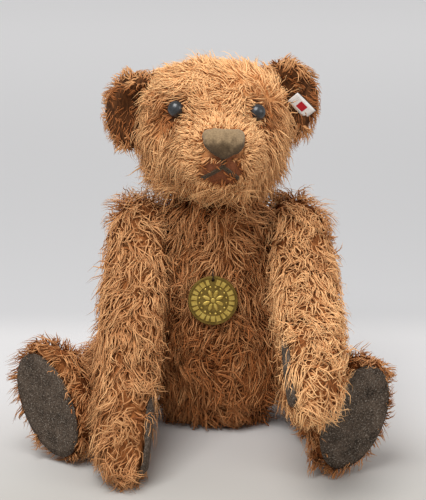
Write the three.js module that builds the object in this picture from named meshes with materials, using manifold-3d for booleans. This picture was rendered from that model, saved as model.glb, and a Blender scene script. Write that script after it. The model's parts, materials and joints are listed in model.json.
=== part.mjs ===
// A jointed mohair bear that sits on its seat with its legs out in front and both arms reaching down forward.
// Millimetres, +Z up, the floor at z = 0. The origin is the middle of the flat seat, the bear faces -Y and
// its own left side is +X. Every limb is built in the frame of its joint: x along the limb, z out of the body.
import * as THREE from 'three';
import { mergeVertices } from 'three/addons/utils/BufferGeometryUtils.js';
import Module from 'manifold-3d';

const wasm = await Module();
wasm.setup();

const deg = THREE.MathUtils.degToRad;
const up = new THREE.Vector3(0, 0, 1);

// Fits
const GAP = 0.3; // left between two pieces that touch
const CLEAR = 0.3; // round a pin in its hole
const POCKET_CLEAR = 0.8; // round a disc or a washer in its pocket

// Body, a pear that is flat where it sits and where the neck is drawn in
const BODY_HEIGHT = 182;
const BODY_SEAT_R = 36;
const BODY_BELLY_R = 58;
const BODY_NECK_R = 27;
const BODY_DEPTH = 0.9; // front to back against side to side
const BODY_BACK = -4; // y of the pear's own axis at the seat, which bends forward to the neck

// Head, a broad skull with a blunt muzzle, in its own frame: x forward, y to the bear's left, z up
const SKULL_FRONT = 49;
const SKULL_SIDE = 55;
const SKULL_UP = 49;
const SKULL_SQUARE = 3; // 2 is round, more is squarer seen from the front
const SKULL_JOWL = 0.06; // how much the face narrows to the chin
const SKULL_LIFT = 48; // from the neck plane up to the middle of the skull
const MUZZLE_REACH = 76;
const MUZZLE_HALF_W = 28;
const MUZZLE_HALF_H = 25;
const MUZZLE_DROP = 13;
const HEAD_YAW = 5; // degrees to the bear's left
const HEAD_PITCH = 5; // degrees the face is lifted
const HEAD_ROLL = 3; // degrees the bear's left eye hangs lower
const HEAD_SIDE = -3; // the middle of the skull beside the neck joint

// Ears, cupped and set low at the sides
const EAR_HALF_W = 25;
const EAR_HALF_H = 29;
const EAR_HALF_D = 13;
const EAR_WALL = 5;
const EAR_AT = { right: { out: 57, up: 10 }, left: { out: 52, up: 23 } }; // sewn on by eye, so not level

// Face
const EYE_R = 6;
const EYE_SIDE = { right: 32.5, left: 26.5 };
const EYE_UP = 17;
const EYE_SHANK_R = 1.1;
const EYE_SHANK_LENGTH = 13;
const NOSE_HALF_W = 15.5;
const NOSE_TOP = 7;
const NOSE_BOTTOM = -14;
const NOSE_THICK = 2.2;
const STITCH_HALF_W = 1.1;
const STITCH_THICK = 1;
const MOUTH_HALF_W = 14;
const MOUTH_FORK = -19;
const MOUTH_END = -29;

// Arms, long and slightly bowed, with a felt palm on the inner side
const ARM_LENGTH = 206;
const ARM_CAP = 27; // behind the shoulder joint
const ARM_HALF_W = 27;
const ARM_HALF_D = 24;
const ARM_SET_OUT = 20; // from the shoulder plane to the arm's own middle line
const ARM_BOW = 8;
const PALM_HALF_L = 31;
const PALM_HALF_W = 14;
const PALM_FROM_END = 36;
const PALM_TURN = 14; // degrees the palm looks to the front
const FELT = 1.6;

// Legs, with a foot that stands up at the end and a flat felt sole
const LEG_LENGTH = 136;
const LEG_CAP = 28;
const LEG_HALF_W = 28;
const LEG_HALF_D = 24;
const LEG_SET_OUT = 19;
const LEG_SPREAD = 21; // how far the ankle lies further out than the hip
const FOOT_HALF_L = 44;
const FOOT_HALF_W = 27;
const FOOT_HALF_D = 28;
const FOOT_RISE = 12; // the middle of the sole above the leg's middle line
const FOOT_TURN = 18; // degrees the toes turn out
const SOLE_CUT = 10; // from the middle of the foot to the sole
const SOLE_MARGIN = 1; // fur left round the felt

// Joints: two fibre discs, two washers and a split pin each
const SHOULDER = { height: 148, out: 38, back: -18, splay: 1.5, tilt: 4, swell: 0.55 };
const HIP = { height: 46, out: 47, back: -10, tilt: -18 };
const HIP_SPLAY = { right: 16, left: 3 };
const ARM_DROP = { right: 46, left: 23 }; // degrees below level
const NECK_BACK = -22;
const DISC_T = 2.5;
const DISC_R = { neck: 19, shoulder: 14, hip: 15.5 };
const CLOTH = 2.4; // cloth and stuffing pressed between the two discs, on each side
const WASHER_T = 1;
const WASHER_R = 8;
const WIRE_R = 0.75;
const LEG_OF_PIN = 0.85; // half the distance between the two legs of a split pin
const CURL_R = 2.6;
const EYE_OF_PIN = 4;

// Medal on the chest, hung on a loop of thread
const MEDAL_R = 18.5;
const MEDAL_T = 2;
const MEDAL_RIM = 1.6;
const MEDAL_HEIGHT = 107;
const MEDAL_SIDE = -4;
const MEDAL_STAND_OFF = 3.2;
const MEDAL_HOLE_R = 1.3;
const MEDAL_HOLE_AT = 15.4;
const THREAD_R = 0.45;
const THREAD_LOOP_R = 4.2;

// Woven tab sewn into the left ear
const TAB_W = 10;
const TAB_L = 19;
const TAB_T = 0.9;

const mohair = new THREE.MeshStandardMaterial({ color: 0xb4784b, roughness: 0.95 });
const felt = new THREE.MeshStandardMaterial({ color: 0x4a443f, roughness: 1 });
const noseWool = new THREE.MeshStandardMaterial({ color: 0x594a36, roughness: 0.95 });
const blackGlass = new THREE.MeshStandardMaterial({ color: 0x20242a, roughness: 0.25 });
const brass = new THREE.MeshStandardMaterial({ color: 0x9a8438, roughness: 0.45, metalness: 0.9 });
const thread = new THREE.MeshStandardMaterial({ color: 0x3a2a20, roughness: 0.9 });
const tabCloth = new THREE.MeshStandardMaterial({ color: 0xe4dfd8, roughness: 0.9 });
const fibre = new THREE.MeshStandardMaterial({ color: 0x6b4f35, roughness: 0.85 });
const steel = new THREE.MeshStandardMaterial({ color: 0x8d9094, roughness: 0.4, metalness: 1 });

// The solid inside a closed geometry.
function solidFrom(geometry) {
  const loose = geometry.index ? geometry.toNonIndexed() : geometry;
  const bare = new THREE.BufferGeometry().setAttribute('position', loose.getAttribute('position'));
  const merged = mergeVertices(bare, 1e-4);
  const corners = merged.index.array;
  const kept = [];
  for (let i = 0; i < corners.length; i += 3) {
    const [a, b, c] = [corners[i], corners[i + 1], corners[i + 2]];
    if (a !== b && b !== c && c !== a) kept.push(a, b, c);
  }
  return new wasm.Manifold(new wasm.Mesh({
    numProp: 3,
    vertProperties: merged.attributes.position.array,
    triVerts: new Uint32Array(kept),
  }));
}

// The geometry round a solid.
function geometryFrom(solid) {
  const mesh = solid.getMesh();
  const geometry = new THREE.BufferGeometry();
  geometry.setAttribute('position', new THREE.BufferAttribute(new Float32Array(mesh.vertProperties), 3));
  geometry.setIndex(new THREE.BufferAttribute(new Uint32Array(mesh.triVerts), 1));
  geometry.computeVertexNormals();
  return geometry;
}

// Adds one named piece to a group.
function addPiece(group, name, shape, material) {
  const geometry = shape.isBufferGeometry ? shape : geometryFrom(shape);
  const mesh = new THREE.Mesh(geometry, material);
  mesh.name = name;
  group.add(mesh);
  return mesh;
}

// A value that runs smoothly through evenly spaced ones, read at a share of the way.
function spread(values) {
  const line = new THREE.SplineCurve(values.map((v, i) => new THREE.Vector2(i, v)));
  return (share) => line.getPoint(share).y;
}

// A stuffed form: a sphere pulled out along a middle line, with its own half width and half depth on the way.
// The depth runs along z, and both ends are rounded off over a length of their own.
function stuffedForm({ line, across, deep, roundEnds, sides, rings }, grow = 0) {
  const middle = new THREE.CatmullRomCurve3(line);
  const length = middle.getLength();
  const acrossAt = spread(across);
  const deepAt = spread(deep);
  const rounding = (from, over) => Math.sqrt(1 - Math.pow(1 - Math.min(1, from / over), 2));
  const form = new THREE.SphereGeometry(1, sides, rings);
  const place = form.getAttribute('position');
  const onSphere = new THREE.Vector3();
  for (let i = 0; i < place.count; i++) {
    onSphere.fromBufferAttribute(place, i);
    const share = THREE.MathUtils.clamp((1 - onSphere.y) / 2, 0, 1);
    const ring = Math.hypot(onSphere.x, onSphere.z);
    const rounded = rounding(share * length, roundEnds[0]) * rounding((1 - share) * length, roundEnds[1]);
    const swell = ring < 1e-6 ? 0 : rounded / ring;
    const forward = middle.getTangentAt(share);
    const sideways = up.clone().cross(forward).normalize();
    const depth = forward.clone().cross(sideways);
    const point = middle.getPointAt(share)
      .addScaledVector(forward, -onSphere.y * grow)
      .addScaledVector(sideways, onSphere.x * swell * (acrossAt(share) + grow))
      .addScaledVector(depth, onSphere.z * swell * (deepAt(share) + grow));
    place.setXYZ(i, point.x, point.y, point.z);
  }
  return solidFrom(form);
}

// A turned shape: half a profile of [radius, height] pairs from axis to axis, standing along z.
function turned(profile, segments) {
  const lathe = new THREE.LatheGeometry(profile.map(([r, h]) => new THREE.Vector2(r, h)), segments);
  return lathe.rotateX(Math.PI / 2);
}

// A flat ring that stands on z = from.
function ring(outer, inner, from, thick, segments) {
  const outline = new THREE.Shape().absarc(0, 0, outer, 0, 2 * Math.PI);
  outline.holes.push(new THREE.Path().absarc(0, 0, inner, 0, 2 * Math.PI, true));
  const options = { depth: thick, bevelEnabled: false, curveSegments: segments };
  return new THREE.ExtrudeGeometry(outline, options).translate(0, 0, from);
}

// All of space below z = level in the frame of a matrix.
function halfSpaceBelow(level, matrix = new THREE.Matrix4()) {
  const size = 600;
  const block = new THREE.BoxGeometry(size, size, size).translate(0, 0, level - size / 2);
  return solidFrom(block.applyMatrix4(matrix));
}

// A group at a joint, with z out of the body and x along the limb.
function jointFrame(name, at, outward, along) {
  const frame = new THREE.Group();
  frame.name = name;
  const z = outward.clone().normalize();
  const x = along.clone().addScaledVector(z, -along.dot(z)).normalize();
  const y = z.clone().cross(x);
  frame.quaternion.setFromRotationMatrix(new THREE.Matrix4().makeBasis(x, y, z));
  frame.position.copy(at);
  frame.updateMatrix();
  return frame;
}

// The pocket that one side of a joint needs: hole, disc pocket and room for the washer and the pin's end.
function jointPocket(discR, endRoom) {
  const discEnd = CLOTH + DISC_T + CLEAR;
  const end = discEnd + WASHER_T + CLEAR + endRoom;
  const hole = LEG_OF_PIN + WIRE_R + CLEAR;
  return turned([
    [0, -1], [hole, -1], [hole, CLOTH - CLEAR], [discR + POCKET_CLEAR, CLOTH - CLEAR],
    [discR + POCKET_CLEAR, discEnd], [WASHER_R + POCKET_CLEAR, discEnd],
    [WASHER_R + POCKET_CLEAR, end], [0, end],
  ], 16);
}

const HEAD_ROOM = EYE_OF_PIN + 2 * WIRE_R + 2 * CLEAR;
const CURL_ROOM = CURL_R + 3 * WIRE_R + 2 * CLEAR;
const turnedOver = new THREE.Matrix4().makeRotationX(Math.PI);

// A split pin: one wire bent double, its eye on the limb's washer and its legs curled under the body's.
function splitPin() {
  const top = CLOTH + DISC_T + WASHER_T + 2 * CLEAR + WIRE_R;
  const bottom = -top;
  const leg = [];
  for (let turn = 200; turn >= 0; turn -= 40) {
    const angle = deg(180 + turn * 0.8);
    leg.push([LEG_OF_PIN + CURL_R + CURL_R * Math.cos(angle), bottom + CURL_R * Math.sin(angle)]);
  }
  leg.push([LEG_OF_PIN, 0], [LEG_OF_PIN, top - WIRE_R]);
  leg.push([2 * LEG_OF_PIN + WIRE_R, top + EYE_OF_PIN * 0.45]);
  const tip = [[0, top + EYE_OF_PIN]];
  const mirrored = leg.map(([x, z]) => [-x, z]).reverse();
  const bends = [...leg, ...tip, ...mirrored].map(([x, z]) => new THREE.Vector3(x, 0, z));
  const wire = new THREE.Shape().absarc(0, 0, WIRE_R, 0, 2 * Math.PI);
  const path = new THREE.CatmullRomCurve3(bends);
  return new THREE.ExtrudeGeometry(wire, { steps: 26, curveSegments: 3, extrudePath: path });
}

// Both halves of a joint: limb disc and washer, body disc and washer, and the pin through them.
function addJointParts(frame, name, discR) {
  const hole = LEG_OF_PIN + WIRE_R + CLEAR;
  const washerAt = CLOTH + DISC_T + CLEAR;
  addPiece(frame, `${name}_limb_disc`, ring(discR, hole, CLOTH, DISC_T, 8), fibre);
  addPiece(frame, `${name}_limb_washer`, ring(WASHER_R, hole, washerAt, WASHER_T, 5), steel);
  addPiece(frame, `${name}_body_disc`, ring(discR, hole, -CLOTH - DISC_T, DISC_T, 8), fibre);
  addPiece(frame, `${name}_body_washer`, ring(WASHER_R, hole, -washerAt - WASHER_T, WASHER_T, 5), steel);
  addPiece(frame, `${name}_split_pin`, splitPin(), steel);
}

// The limb's side of a joint, cut flat on the joint plane and hollowed for the disc.
function fitToJoint(solid, discR, matrix = new THREE.Matrix4()) {
  const pocket = jointPocket(discR, HEAD_ROOM).applyMatrix4(matrix);
  return solid.subtract(halfSpaceBelow(GAP / 2, matrix)).subtract(solidFrom(pocket));
}

// The body's side of the same joint: cloth is drawn flat under the limb and swells out again round it. A
// swell of 0 keeps it flat all the way.
function fitBodyToJoint(solid, discR, flatR, swell, matrix) {
  const over = matrix.clone().multiply(turnedOver);
  const pocket = jointPocket(discR, CURL_ROOM).applyMatrix4(over);
  const wide = 300;
  const dimple = turned([
    [0, -GAP / 2], [flatR, -GAP / 2], [wide, swell * (wide - flatR) - GAP / 2], [wide, wide], [0, wide],
  ], 16).applyMatrix4(matrix);
  return solid.subtract(solidFrom(dimple)).subtract(solidFrom(pocket));
}

// The point where a ray first meets a shape, and the way out of the surface there.
function surfaceAt(solid, from, towards) {
  const probe = new THREE.Mesh(geometryFrom(solid), new THREE.MeshStandardMaterial({ side: THREE.DoubleSide }));
  const [hit] = new THREE.Raycaster(from, towards.clone().normalize()).intersectObject(probe);
  return { point: hit.point, outward: hit.face.normal.clone() };
}

// Joints of the bear, right and left being its own
const bear = new THREE.Group();
bear.name = 'bear';

const neck = jointFrame(
  'neck',
  new THREE.Vector3(0, NECK_BACK, BODY_HEIGHT),
  up,
  new THREE.Vector3(Math.sin(deg(HEAD_YAW)), -Math.cos(deg(HEAD_YAW)), 0),
);

// Out of the body at a limb joint: sideways, splayed to the back and tilted up.
function outwardAt(sideX, splay, tilt) {
  const level = new THREE.Vector3(sideX * Math.cos(deg(splay)), Math.sin(deg(splay)), 0);
  return level.multiplyScalar(Math.cos(deg(tilt))).addScaledVector(up, Math.sin(deg(tilt)));
}

function shoulderFrame(side, sideX) {
  const outward = outwardAt(sideX, SHOULDER.splay, SHOULDER.tilt);
  const drop = deg(ARM_DROP[side]);
  const along = new THREE.Vector3(0, -Math.cos(drop), -Math.sin(drop));
  const at = new THREE.Vector3(sideX * SHOULDER.out, SHOULDER.back, SHOULDER.height);
  return jointFrame(`${side}_shoulder`, at, outward, along);
}

function hipFrame(side, sideX) {
  const outward = outwardAt(sideX, HIP_SPLAY[side], HIP.tilt);
  const level = outwardAt(sideX, HIP_SPLAY[side], 0);
  const at = level.clone().multiplyScalar(HIP.out).add(new THREE.Vector3(0, HIP.back, HIP.height));
  const along = new THREE.Vector3(sideX * Math.sin(deg(HIP_SPLAY[side])), -Math.cos(deg(HIP_SPLAY[side])), 0);
  return jointFrame(`${side}_hip`, at, outward, along);
}

const sides = [['right', -1], ['left', 1]];
const shoulders = sides.map(([side, sideX]) => shoulderFrame(side, sideX));
const hips = sides.map(([side, sideX]) => hipFrame(side, sideX));
bear.add(neck, ...shoulders, ...hips);

// Body
const pear = new THREE.SplineCurve([
  [BODY_SEAT_R, 0], [BODY_BELLY_R * 0.88, 0.065], [BODY_BELLY_R * 0.985, 0.18], [BODY_BELLY_R, 0.33],
  [BODY_BELLY_R * 0.945, 0.52], [BODY_BELLY_R * 0.845, 0.68], [BODY_BELLY_R * 0.74, 0.82],
  [BODY_NECK_R * 1.2, 0.94], [BODY_NECK_R, 1],
].map(([r, share]) => new THREE.Vector2(r, share * BODY_HEIGHT)));
const pearProfile = [[0, 0], ...pear.getPoints(13).map((p) => [p.x, p.y]), [0, BODY_HEIGHT]];
const pearShape = turned(pearProfile, 24).scale(1, BODY_DEPTH, 1);
const pearPlace = pearShape.getAttribute('position');
for (let i = 0; i < pearPlace.count; i++) {
  const bend = Math.pow(pearPlace.getZ(i) / BODY_HEIGHT, 2);
  pearPlace.setY(i, pearPlace.getY(i) + THREE.MathUtils.lerp(BODY_BACK, NECK_BACK, bend));
}
const pearForm = solidFrom(pearShape);

// The medal hangs where a level ray meets the chest, and lies along the cloth there.
const chest = surfaceAt(pearForm, new THREE.Vector3(MEDAL_SIDE, -300, MEDAL_HEIGHT), new THREE.Vector3(0, 1, 0));
const medalFrame = new THREE.Group();
medalFrame.position.copy(chest.point);
const medalOut = new THREE.Vector3(0, chest.outward.y, chest.outward.z).normalize();
const medalRight = new THREE.Vector3(1, 0, 0);
medalFrame.quaternion.setFromRotationMatrix(
  new THREE.Matrix4().makeBasis(medalRight, medalOut.clone().cross(medalRight), medalOut),
);
medalFrame.updateMatrix();
bear.add(medalFrame);

const medalHole = new THREE.CylinderGeometry(MEDAL_HOLE_R, MEDAL_HOLE_R, 20, 12)
  .rotateX(Math.PI / 2)
  .translate(0, MEDAL_HOLE_AT, 0);
const medalDisc = turned([
  [0, 0], [MEDAL_R, 0], [MEDAL_R, MEDAL_T], [MEDAL_R - MEDAL_RIM, MEDAL_T],
  [MEDAL_R - MEDAL_RIM, MEDAL_T * 0.75], [0, MEDAL_T * 0.75],
], 36).translate(0, 0, MEDAL_STAND_OFF);
addPiece(medalFrame, 'medal', solidFrom(medalDisc).subtract(solidFrom(medalHole)), brass);

function threadLoop(radius) {
  const loop = new THREE.TorusGeometry(THREAD_LOOP_R, radius, 5, 16).rotateY(Math.PI / 2);
  const dip = MEDAL_STAND_OFF - THREAD_LOOP_R * 0.2;
  return loop.translate(0, MEDAL_HOLE_AT + THREAD_LOOP_R * 0.9, dip);
}
addPiece(medalFrame, 'medal_thread', threadLoop(THREAD_R), thread);

let body = pearForm;
body = fitBodyToJoint(body, DISC_R.neck, BODY_NECK_R, 0, neck.matrix);
sides.forEach(([, sideX], i) => {
  const { matrix } = shoulders[i];
  const armRoom = armForm(-sideX, GAP).subtract(halfSpaceBelow(0)).transform(matrix.elements);
  body = fitBodyToJoint(body, DISC_R.shoulder, ARM_HALF_W * 1.75, SHOULDER.swell, matrix).subtract(armRoom);
});
hips.forEach((frame) => { body = fitBodyToJoint(body, DISC_R.hip, LEG_HALF_W, 0, frame.matrix); });
body = body.subtract(solidFrom(threadLoop(THREAD_R + CLEAR).applyMatrix4(medalFrame.matrix)));
addPiece(bear, 'body', body, mohair);

// Head: everything on it is built round the middle of the skull and turned a little with it
const face = new THREE.Group();
face.position.set(3, HEAD_SIDE, SKULL_LIFT);
face.rotation.set(deg(-HEAD_ROLL), deg(-HEAD_PITCH), 0);
face.updateMatrix();
neck.add(face);
const neckFromFace = face.matrix.clone().invert();

function skullForm(grow) {
  const ball = new THREE.SphereGeometry(1, 24, 16).rotateZ(-Math.PI / 2);
  const place = ball.getAttribute('position');
  for (let i = 0; i < place.count; i++) {
    const [x, y, z] = [place.getX(i), place.getY(i), place.getZ(i)];
    const angle = Math.atan2(z, y);
    const corner = Math.pow(Math.abs(Math.cos(angle)), SKULL_SQUARE)
      + Math.pow(Math.abs(Math.sin(angle)), SKULL_SQUARE);
    const square = Math.pow(corner, -1 / SKULL_SQUARE);
    const jowl = 1 - SKULL_JOWL * Math.max(0, -z);
    const wide = (SKULL_SIDE + grow) * y * square * jowl;
    place.setXYZ(i, (SKULL_FRONT + grow) * x, wide, (SKULL_UP + grow) * z * square);
  }
  return solidFrom(ball);
}

function headForm(grow) {
  const muzzle = stuffedForm({
    line: [
      new THREE.Vector3(-10, 0, -MUZZLE_DROP),
      new THREE.Vector3(SKULL_FRONT * 0.7, 0, -MUZZLE_DROP),
      new THREE.Vector3(MUZZLE_REACH, 0, -MUZZLE_DROP),
    ],
    across: [1.2, 1.4, 1.35, 1.05, 0.92].map((share) => share * MUZZLE_HALF_W),
    deep: [1.1, 1.3, 1.25, 1.05, 0.94].map((share) => share * MUZZLE_HALF_H),
    roundEnds: [MUZZLE_HALF_W, MUZZLE_HALF_H * 0.9],
    sides: 20,
    rings: 12,
  }, grow);
  return skullForm(grow).add(muzzle);
}

const plainHead = headForm(0);
const headWithGap = headForm(GAP);

// A flat outline in the face's y and z, pushed through the muzzle along x.
function throughMuzzle(outline) {
  const prism = new THREE.ExtrudeGeometry(outline, { depth: 60, bevelEnabled: false, curveSegments: 6 });
  const faceOn = new THREE.Matrix4().makeBasis(
    new THREE.Vector3(0, 1, 0), new THREE.Vector3(0, 0, 1), new THREE.Vector3(1, 0, 0),
  );
  return solidFrom(prism.applyMatrix4(faceOn).translate(MUZZLE_REACH - 40, 0, 0));
}

const noseOutline = new THREE.Shape();
noseOutline.moveTo(-STITCH_HALF_W * 2, NOSE_BOTTOM);
noseOutline.bezierCurveTo(
  -NOSE_HALF_W * 0.5, NOSE_BOTTOM + 3, -NOSE_HALF_W * 1.05, NOSE_BOTTOM * 0.3, -NOSE_HALF_W, NOSE_TOP * 0.2,
);
noseOutline.bezierCurveTo(-NOSE_HALF_W * 0.95, NOSE_TOP, -NOSE_HALF_W * 0.5, NOSE_TOP, 0, NOSE_TOP);
noseOutline.bezierCurveTo(NOSE_HALF_W * 0.5, NOSE_TOP, NOSE_HALF_W * 0.95, NOSE_TOP, NOSE_HALF_W, NOSE_TOP * 0.2);
noseOutline.bezierCurveTo(
  NOSE_HALF_W * 1.05, NOSE_BOTTOM * 0.3, NOSE_HALF_W * 0.5, NOSE_BOTTOM + 3, STITCH_HALF_W * 2, NOSE_BOTTOM,
);
const nose = headForm(GAP + NOSE_THICK).intersect(throughMuzzle(noseOutline)).subtract(headWithGap);
addPiece(face, 'nose', nose, noseWool);

const mouthOutline = new THREE.Shape([
  [-STITCH_HALF_W, NOSE_BOTTOM - GAP], [-STITCH_HALF_W, MOUTH_FORK],
  [-MOUTH_HALF_W, MOUTH_END], [-MOUTH_HALF_W, MOUTH_END - 2 * STITCH_HALF_W],
  [0, MOUTH_FORK - 2 * STITCH_HALF_W],
  [MOUTH_HALF_W, MOUTH_END - 2 * STITCH_HALF_W], [MOUTH_HALF_W, MOUTH_END],
  [STITCH_HALF_W, MOUTH_FORK], [STITCH_HALF_W, NOSE_BOTTOM - GAP],
].map(([y, z]) => new THREE.Vector2(y, z)));
const mouth = headForm(GAP + STITCH_THICK).intersect(throughMuzzle(mouthOutline)).subtract(headWithGap);
addPiece(face, 'mouth_stitch', mouth, noseWool);

// A boot-button eye: a domed button on a shank that goes into the head.
function buttonEye(grow) {
  const shank = EYE_SHANK_R + grow;
  return turned([
    [0, -EYE_SHANK_LENGTH - grow], [shank, -EYE_SHANK_LENGTH - grow], [shank, -1.2 - grow],
    [EYE_R * 0.86 + grow, -1.2 - grow], [EYE_R + grow, 0.6], [EYE_R * 0.93 + grow, 2.4],
    [EYE_R * 0.72 + grow, 4], [EYE_R * 0.4 + grow, 5], [0, 5.3 + grow],
  ], 16);
}

let head = fitToJoint(plainHead, DISC_R.neck, neckFromFace);
sides.forEach(([side, sideX]) => {
  const inFront = new THREE.Vector3(120, sideX * EYE_SIDE[side], EYE_UP);
  const { point } = surfaceAt(plainHead, inFront, new THREE.Vector3(-1, 0, 0));
  const outward = new THREE.Vector3(0.9, sideX * 0.32, 0.1);
  const socket = jointFrame(`${side}_eye_socket`, point, outward, up);
  head = head.subtract(solidFrom(buttonEye(CLEAR).applyMatrix4(socket.matrix)));
  addPiece(socket, `${side}_eye`, buttonEye(0), blackGlass);
  face.add(socket);
});
addPiece(face, 'head', head, mohair);

// A flat ball at a place in the face.
function ballAt(place, halfD, halfW, halfH) {
  const ball = new THREE.SphereGeometry(1, 20, 12).scale(halfD, halfW, halfH);
  return solidFrom(ball.translate(place.x, place.y, place.z));
}

// The tab stands in a slot at the top of the left ear's hollow.
const tabFrame = new THREE.Group();
tabFrame.position.set(5, EAR_AT.left.out + EAR_HALF_W * 0.46, EAR_AT.left.up - EAR_HALF_H * 0.12);
tabFrame.rotation.set(deg(48), deg(10), deg(-20));
tabFrame.updateMatrix();
face.add(tabFrame);
const tab = (grow) => new THREE.BoxGeometry(TAB_T + 2 * grow, TAB_W + 2 * grow, TAB_L + 2 * grow);
addPiece(tabFrame, 'ear_tab', tab(0), tabCloth);

sides.forEach(([side, sideX]) => {
  const { out, up: height } = EAR_AT[side];
  const at = new THREE.Vector3(-4, sideX * out, height);
  const hollow = new THREE.Vector3(EAR_HALF_D * 0.72, sideX * (out - 2), height);
  let ear = ballAt(at, EAR_HALF_D, EAR_HALF_W, EAR_HALF_H);
  ear = ear.subtract(ballAt(hollow, EAR_HALF_D, EAR_HALF_W - EAR_WALL, EAR_HALF_H - EAR_WALL));
  ear = ear.subtract(headWithGap);
  if (side === 'left') ear = ear.subtract(solidFrom(tab(CLEAR).applyMatrix4(tabFrame.matrix)));
  addPiece(face, `${side}_ear`, ear, mohair);
});

// Arms: towards is +1 or -1, the way along the joint frame's y that is the front of the limb
function armForm(towards, grow) {
  const whole = ARM_CAP + ARM_LENGTH;
  const at = (share) => new THREE.Vector3(
    share * whole - ARM_CAP,
    towards * ARM_BOW * Math.pow(share, 2),
    ARM_SET_OUT - 2 * Math.max(0, share - 0.7) * 10,
  );
  return stuffedForm({
    line: [0, 0.25, 0.5, 0.75, 1].map(at),
    across: [0.9, 1, 1, 0.95, 0.9, 0.88, 0.8].map((share) => share * ARM_HALF_W),
    deep: [0.9, 1, 1, 0.96, 0.92, 0.88, 0.78].map((share) => share * ARM_HALF_D),
    roundEnds: [ARM_HALF_W, ARM_HALF_W],
    sides: 18,
    rings: 16,
  }, grow);
}

sides.forEach(([side, sideX], i) => {
  const frame = shoulders[i];
  const towards = -sideX;
  addPiece(frame, `${side}_arm`, fitToJoint(armForm(towards, 0), DISC_R.shoulder), mohair);
  const palmCut = new THREE.CylinderGeometry(1, 1, 40, 18)
    .rotateX(Math.PI / 2)
    .scale(PALM_HALF_L, PALM_HALF_W, 1)
    .translate(0, 0, -26)
    .rotateX(towards * deg(PALM_TURN))
    .translate(ARM_LENGTH - PALM_FROM_END, towards * ARM_BOW * 0.6, ARM_SET_OUT - 3);
  const palm = armForm(towards, GAP + FELT).intersect(solidFrom(palmCut)).subtract(armForm(towards, GAP));
  addPiece(frame, `${side}_palm_felt`, palm, felt);
  addJointParts(frame, `${side}_shoulder`, DISC_R.shoulder);
});

// Legs
sides.forEach(([side, sideX], i) => {
  const frame = hips[i];
  const towards = -sideX;
  const whole = LEG_CAP + LEG_LENGTH;
  const ankleOut = LEG_SET_OUT + LEG_SPREAD;
  const at = (share) => new THREE.Vector3(
    share * whole - LEG_CAP, 0, LEG_SET_OUT + LEG_SPREAD * Math.pow(share, 1.5),
  );
  const shank = stuffedForm({
    line: [0, 0.33, 0.67, 0.93].map(at),
    across: [0.92, 1, 0.98, 0.9, 0.9].map((share) => share * LEG_HALF_W),
    deep: [0.92, 1, 0.96, 0.88, 0.84].map((share) => share * LEG_HALF_D),
    roundEnds: [LEG_HALF_W, LEG_HALF_W * 0.5],
    sides: 18,
    rings: 14,
  });
  const sole = new THREE.Group();
  sole.position.set(LEG_LENGTH, towards * FOOT_RISE, ankleOut);
  sole.rotation.set(0, deg(90 - FOOT_TURN), 0);
  sole.updateMatrix();
  frame.add(sole);
  const foot = new THREE.SphereGeometry(1, 20, 14)
    .scale(FOOT_HALF_W, FOOT_HALF_L, FOOT_HALF_D)
    .translate(0, 0, -SOLE_CUT)
    .applyMatrix4(sole.matrix);
  const underSole = halfSpaceBelow(0, sole.matrix.clone().multiply(turnedOver));
  const leg = shank.add(solidFrom(foot)).subtract(underSole);
  addPiece(frame, `${side}_leg`, fitToJoint(leg, DISC_R.hip), mohair);
  const shrink = Math.sqrt(1 - Math.pow(SOLE_CUT / FOOT_HALF_D, 2));
  const felted = new THREE.Shape().absellipse(
    0, 0, FOOT_HALF_W * shrink - SOLE_MARGIN, FOOT_HALF_L * shrink - SOLE_MARGIN, 0, 2 * Math.PI,
  );
  const sheet = { depth: FELT, bevelEnabled: false, curveSegments: 16 };
  addPiece(sole, `${side}_sole_felt`, new THREE.ExtrudeGeometry(felted, sheet).translate(0, 0, GAP), felt);
  addJointParts(frame, `${side}_hip`, DISC_R.hip);
});
addJointParts(neck, 'neck', DISC_R.neck);

export default bear;
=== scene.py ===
# %% [markdown]
# # A worn mohair bear, seated
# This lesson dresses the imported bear. The frame gives every stuffed shape, pad and joint in metres. What is
# made here is what a maker sees: cloth swollen by its stuffing, curly pile, felt, wool and brass.

import json
import math

import bmesh
import bpy
import numpy as np
from mathutils import Matrix, Vector
from mathutils.bvhtree import BVHTree
from mathutils.kdtree import KDTree


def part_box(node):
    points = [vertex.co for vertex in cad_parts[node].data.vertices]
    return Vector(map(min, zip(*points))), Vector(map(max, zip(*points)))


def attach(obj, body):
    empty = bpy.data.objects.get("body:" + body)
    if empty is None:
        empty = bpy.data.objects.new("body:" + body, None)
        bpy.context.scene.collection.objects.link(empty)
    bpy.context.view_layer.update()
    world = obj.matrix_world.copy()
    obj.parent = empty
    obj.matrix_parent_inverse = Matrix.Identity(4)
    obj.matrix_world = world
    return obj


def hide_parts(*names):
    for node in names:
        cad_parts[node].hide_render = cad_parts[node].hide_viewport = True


MM = 0.001
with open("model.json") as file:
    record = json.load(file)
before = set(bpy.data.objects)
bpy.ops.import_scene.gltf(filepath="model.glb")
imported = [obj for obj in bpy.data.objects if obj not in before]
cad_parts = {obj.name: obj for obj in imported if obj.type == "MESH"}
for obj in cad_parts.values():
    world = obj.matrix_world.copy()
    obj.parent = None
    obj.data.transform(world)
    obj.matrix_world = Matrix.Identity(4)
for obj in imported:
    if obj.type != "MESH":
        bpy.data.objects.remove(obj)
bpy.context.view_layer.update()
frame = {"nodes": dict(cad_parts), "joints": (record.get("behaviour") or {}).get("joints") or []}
scene = bpy.context.scene

# %% [markdown]
# ## Camera
# A long lens a little over a metre away, looking down fifteen degrees, gives the flat, calm view of a
# catalogue picture. The lens is worked out from the focal length in picture heights.

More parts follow.
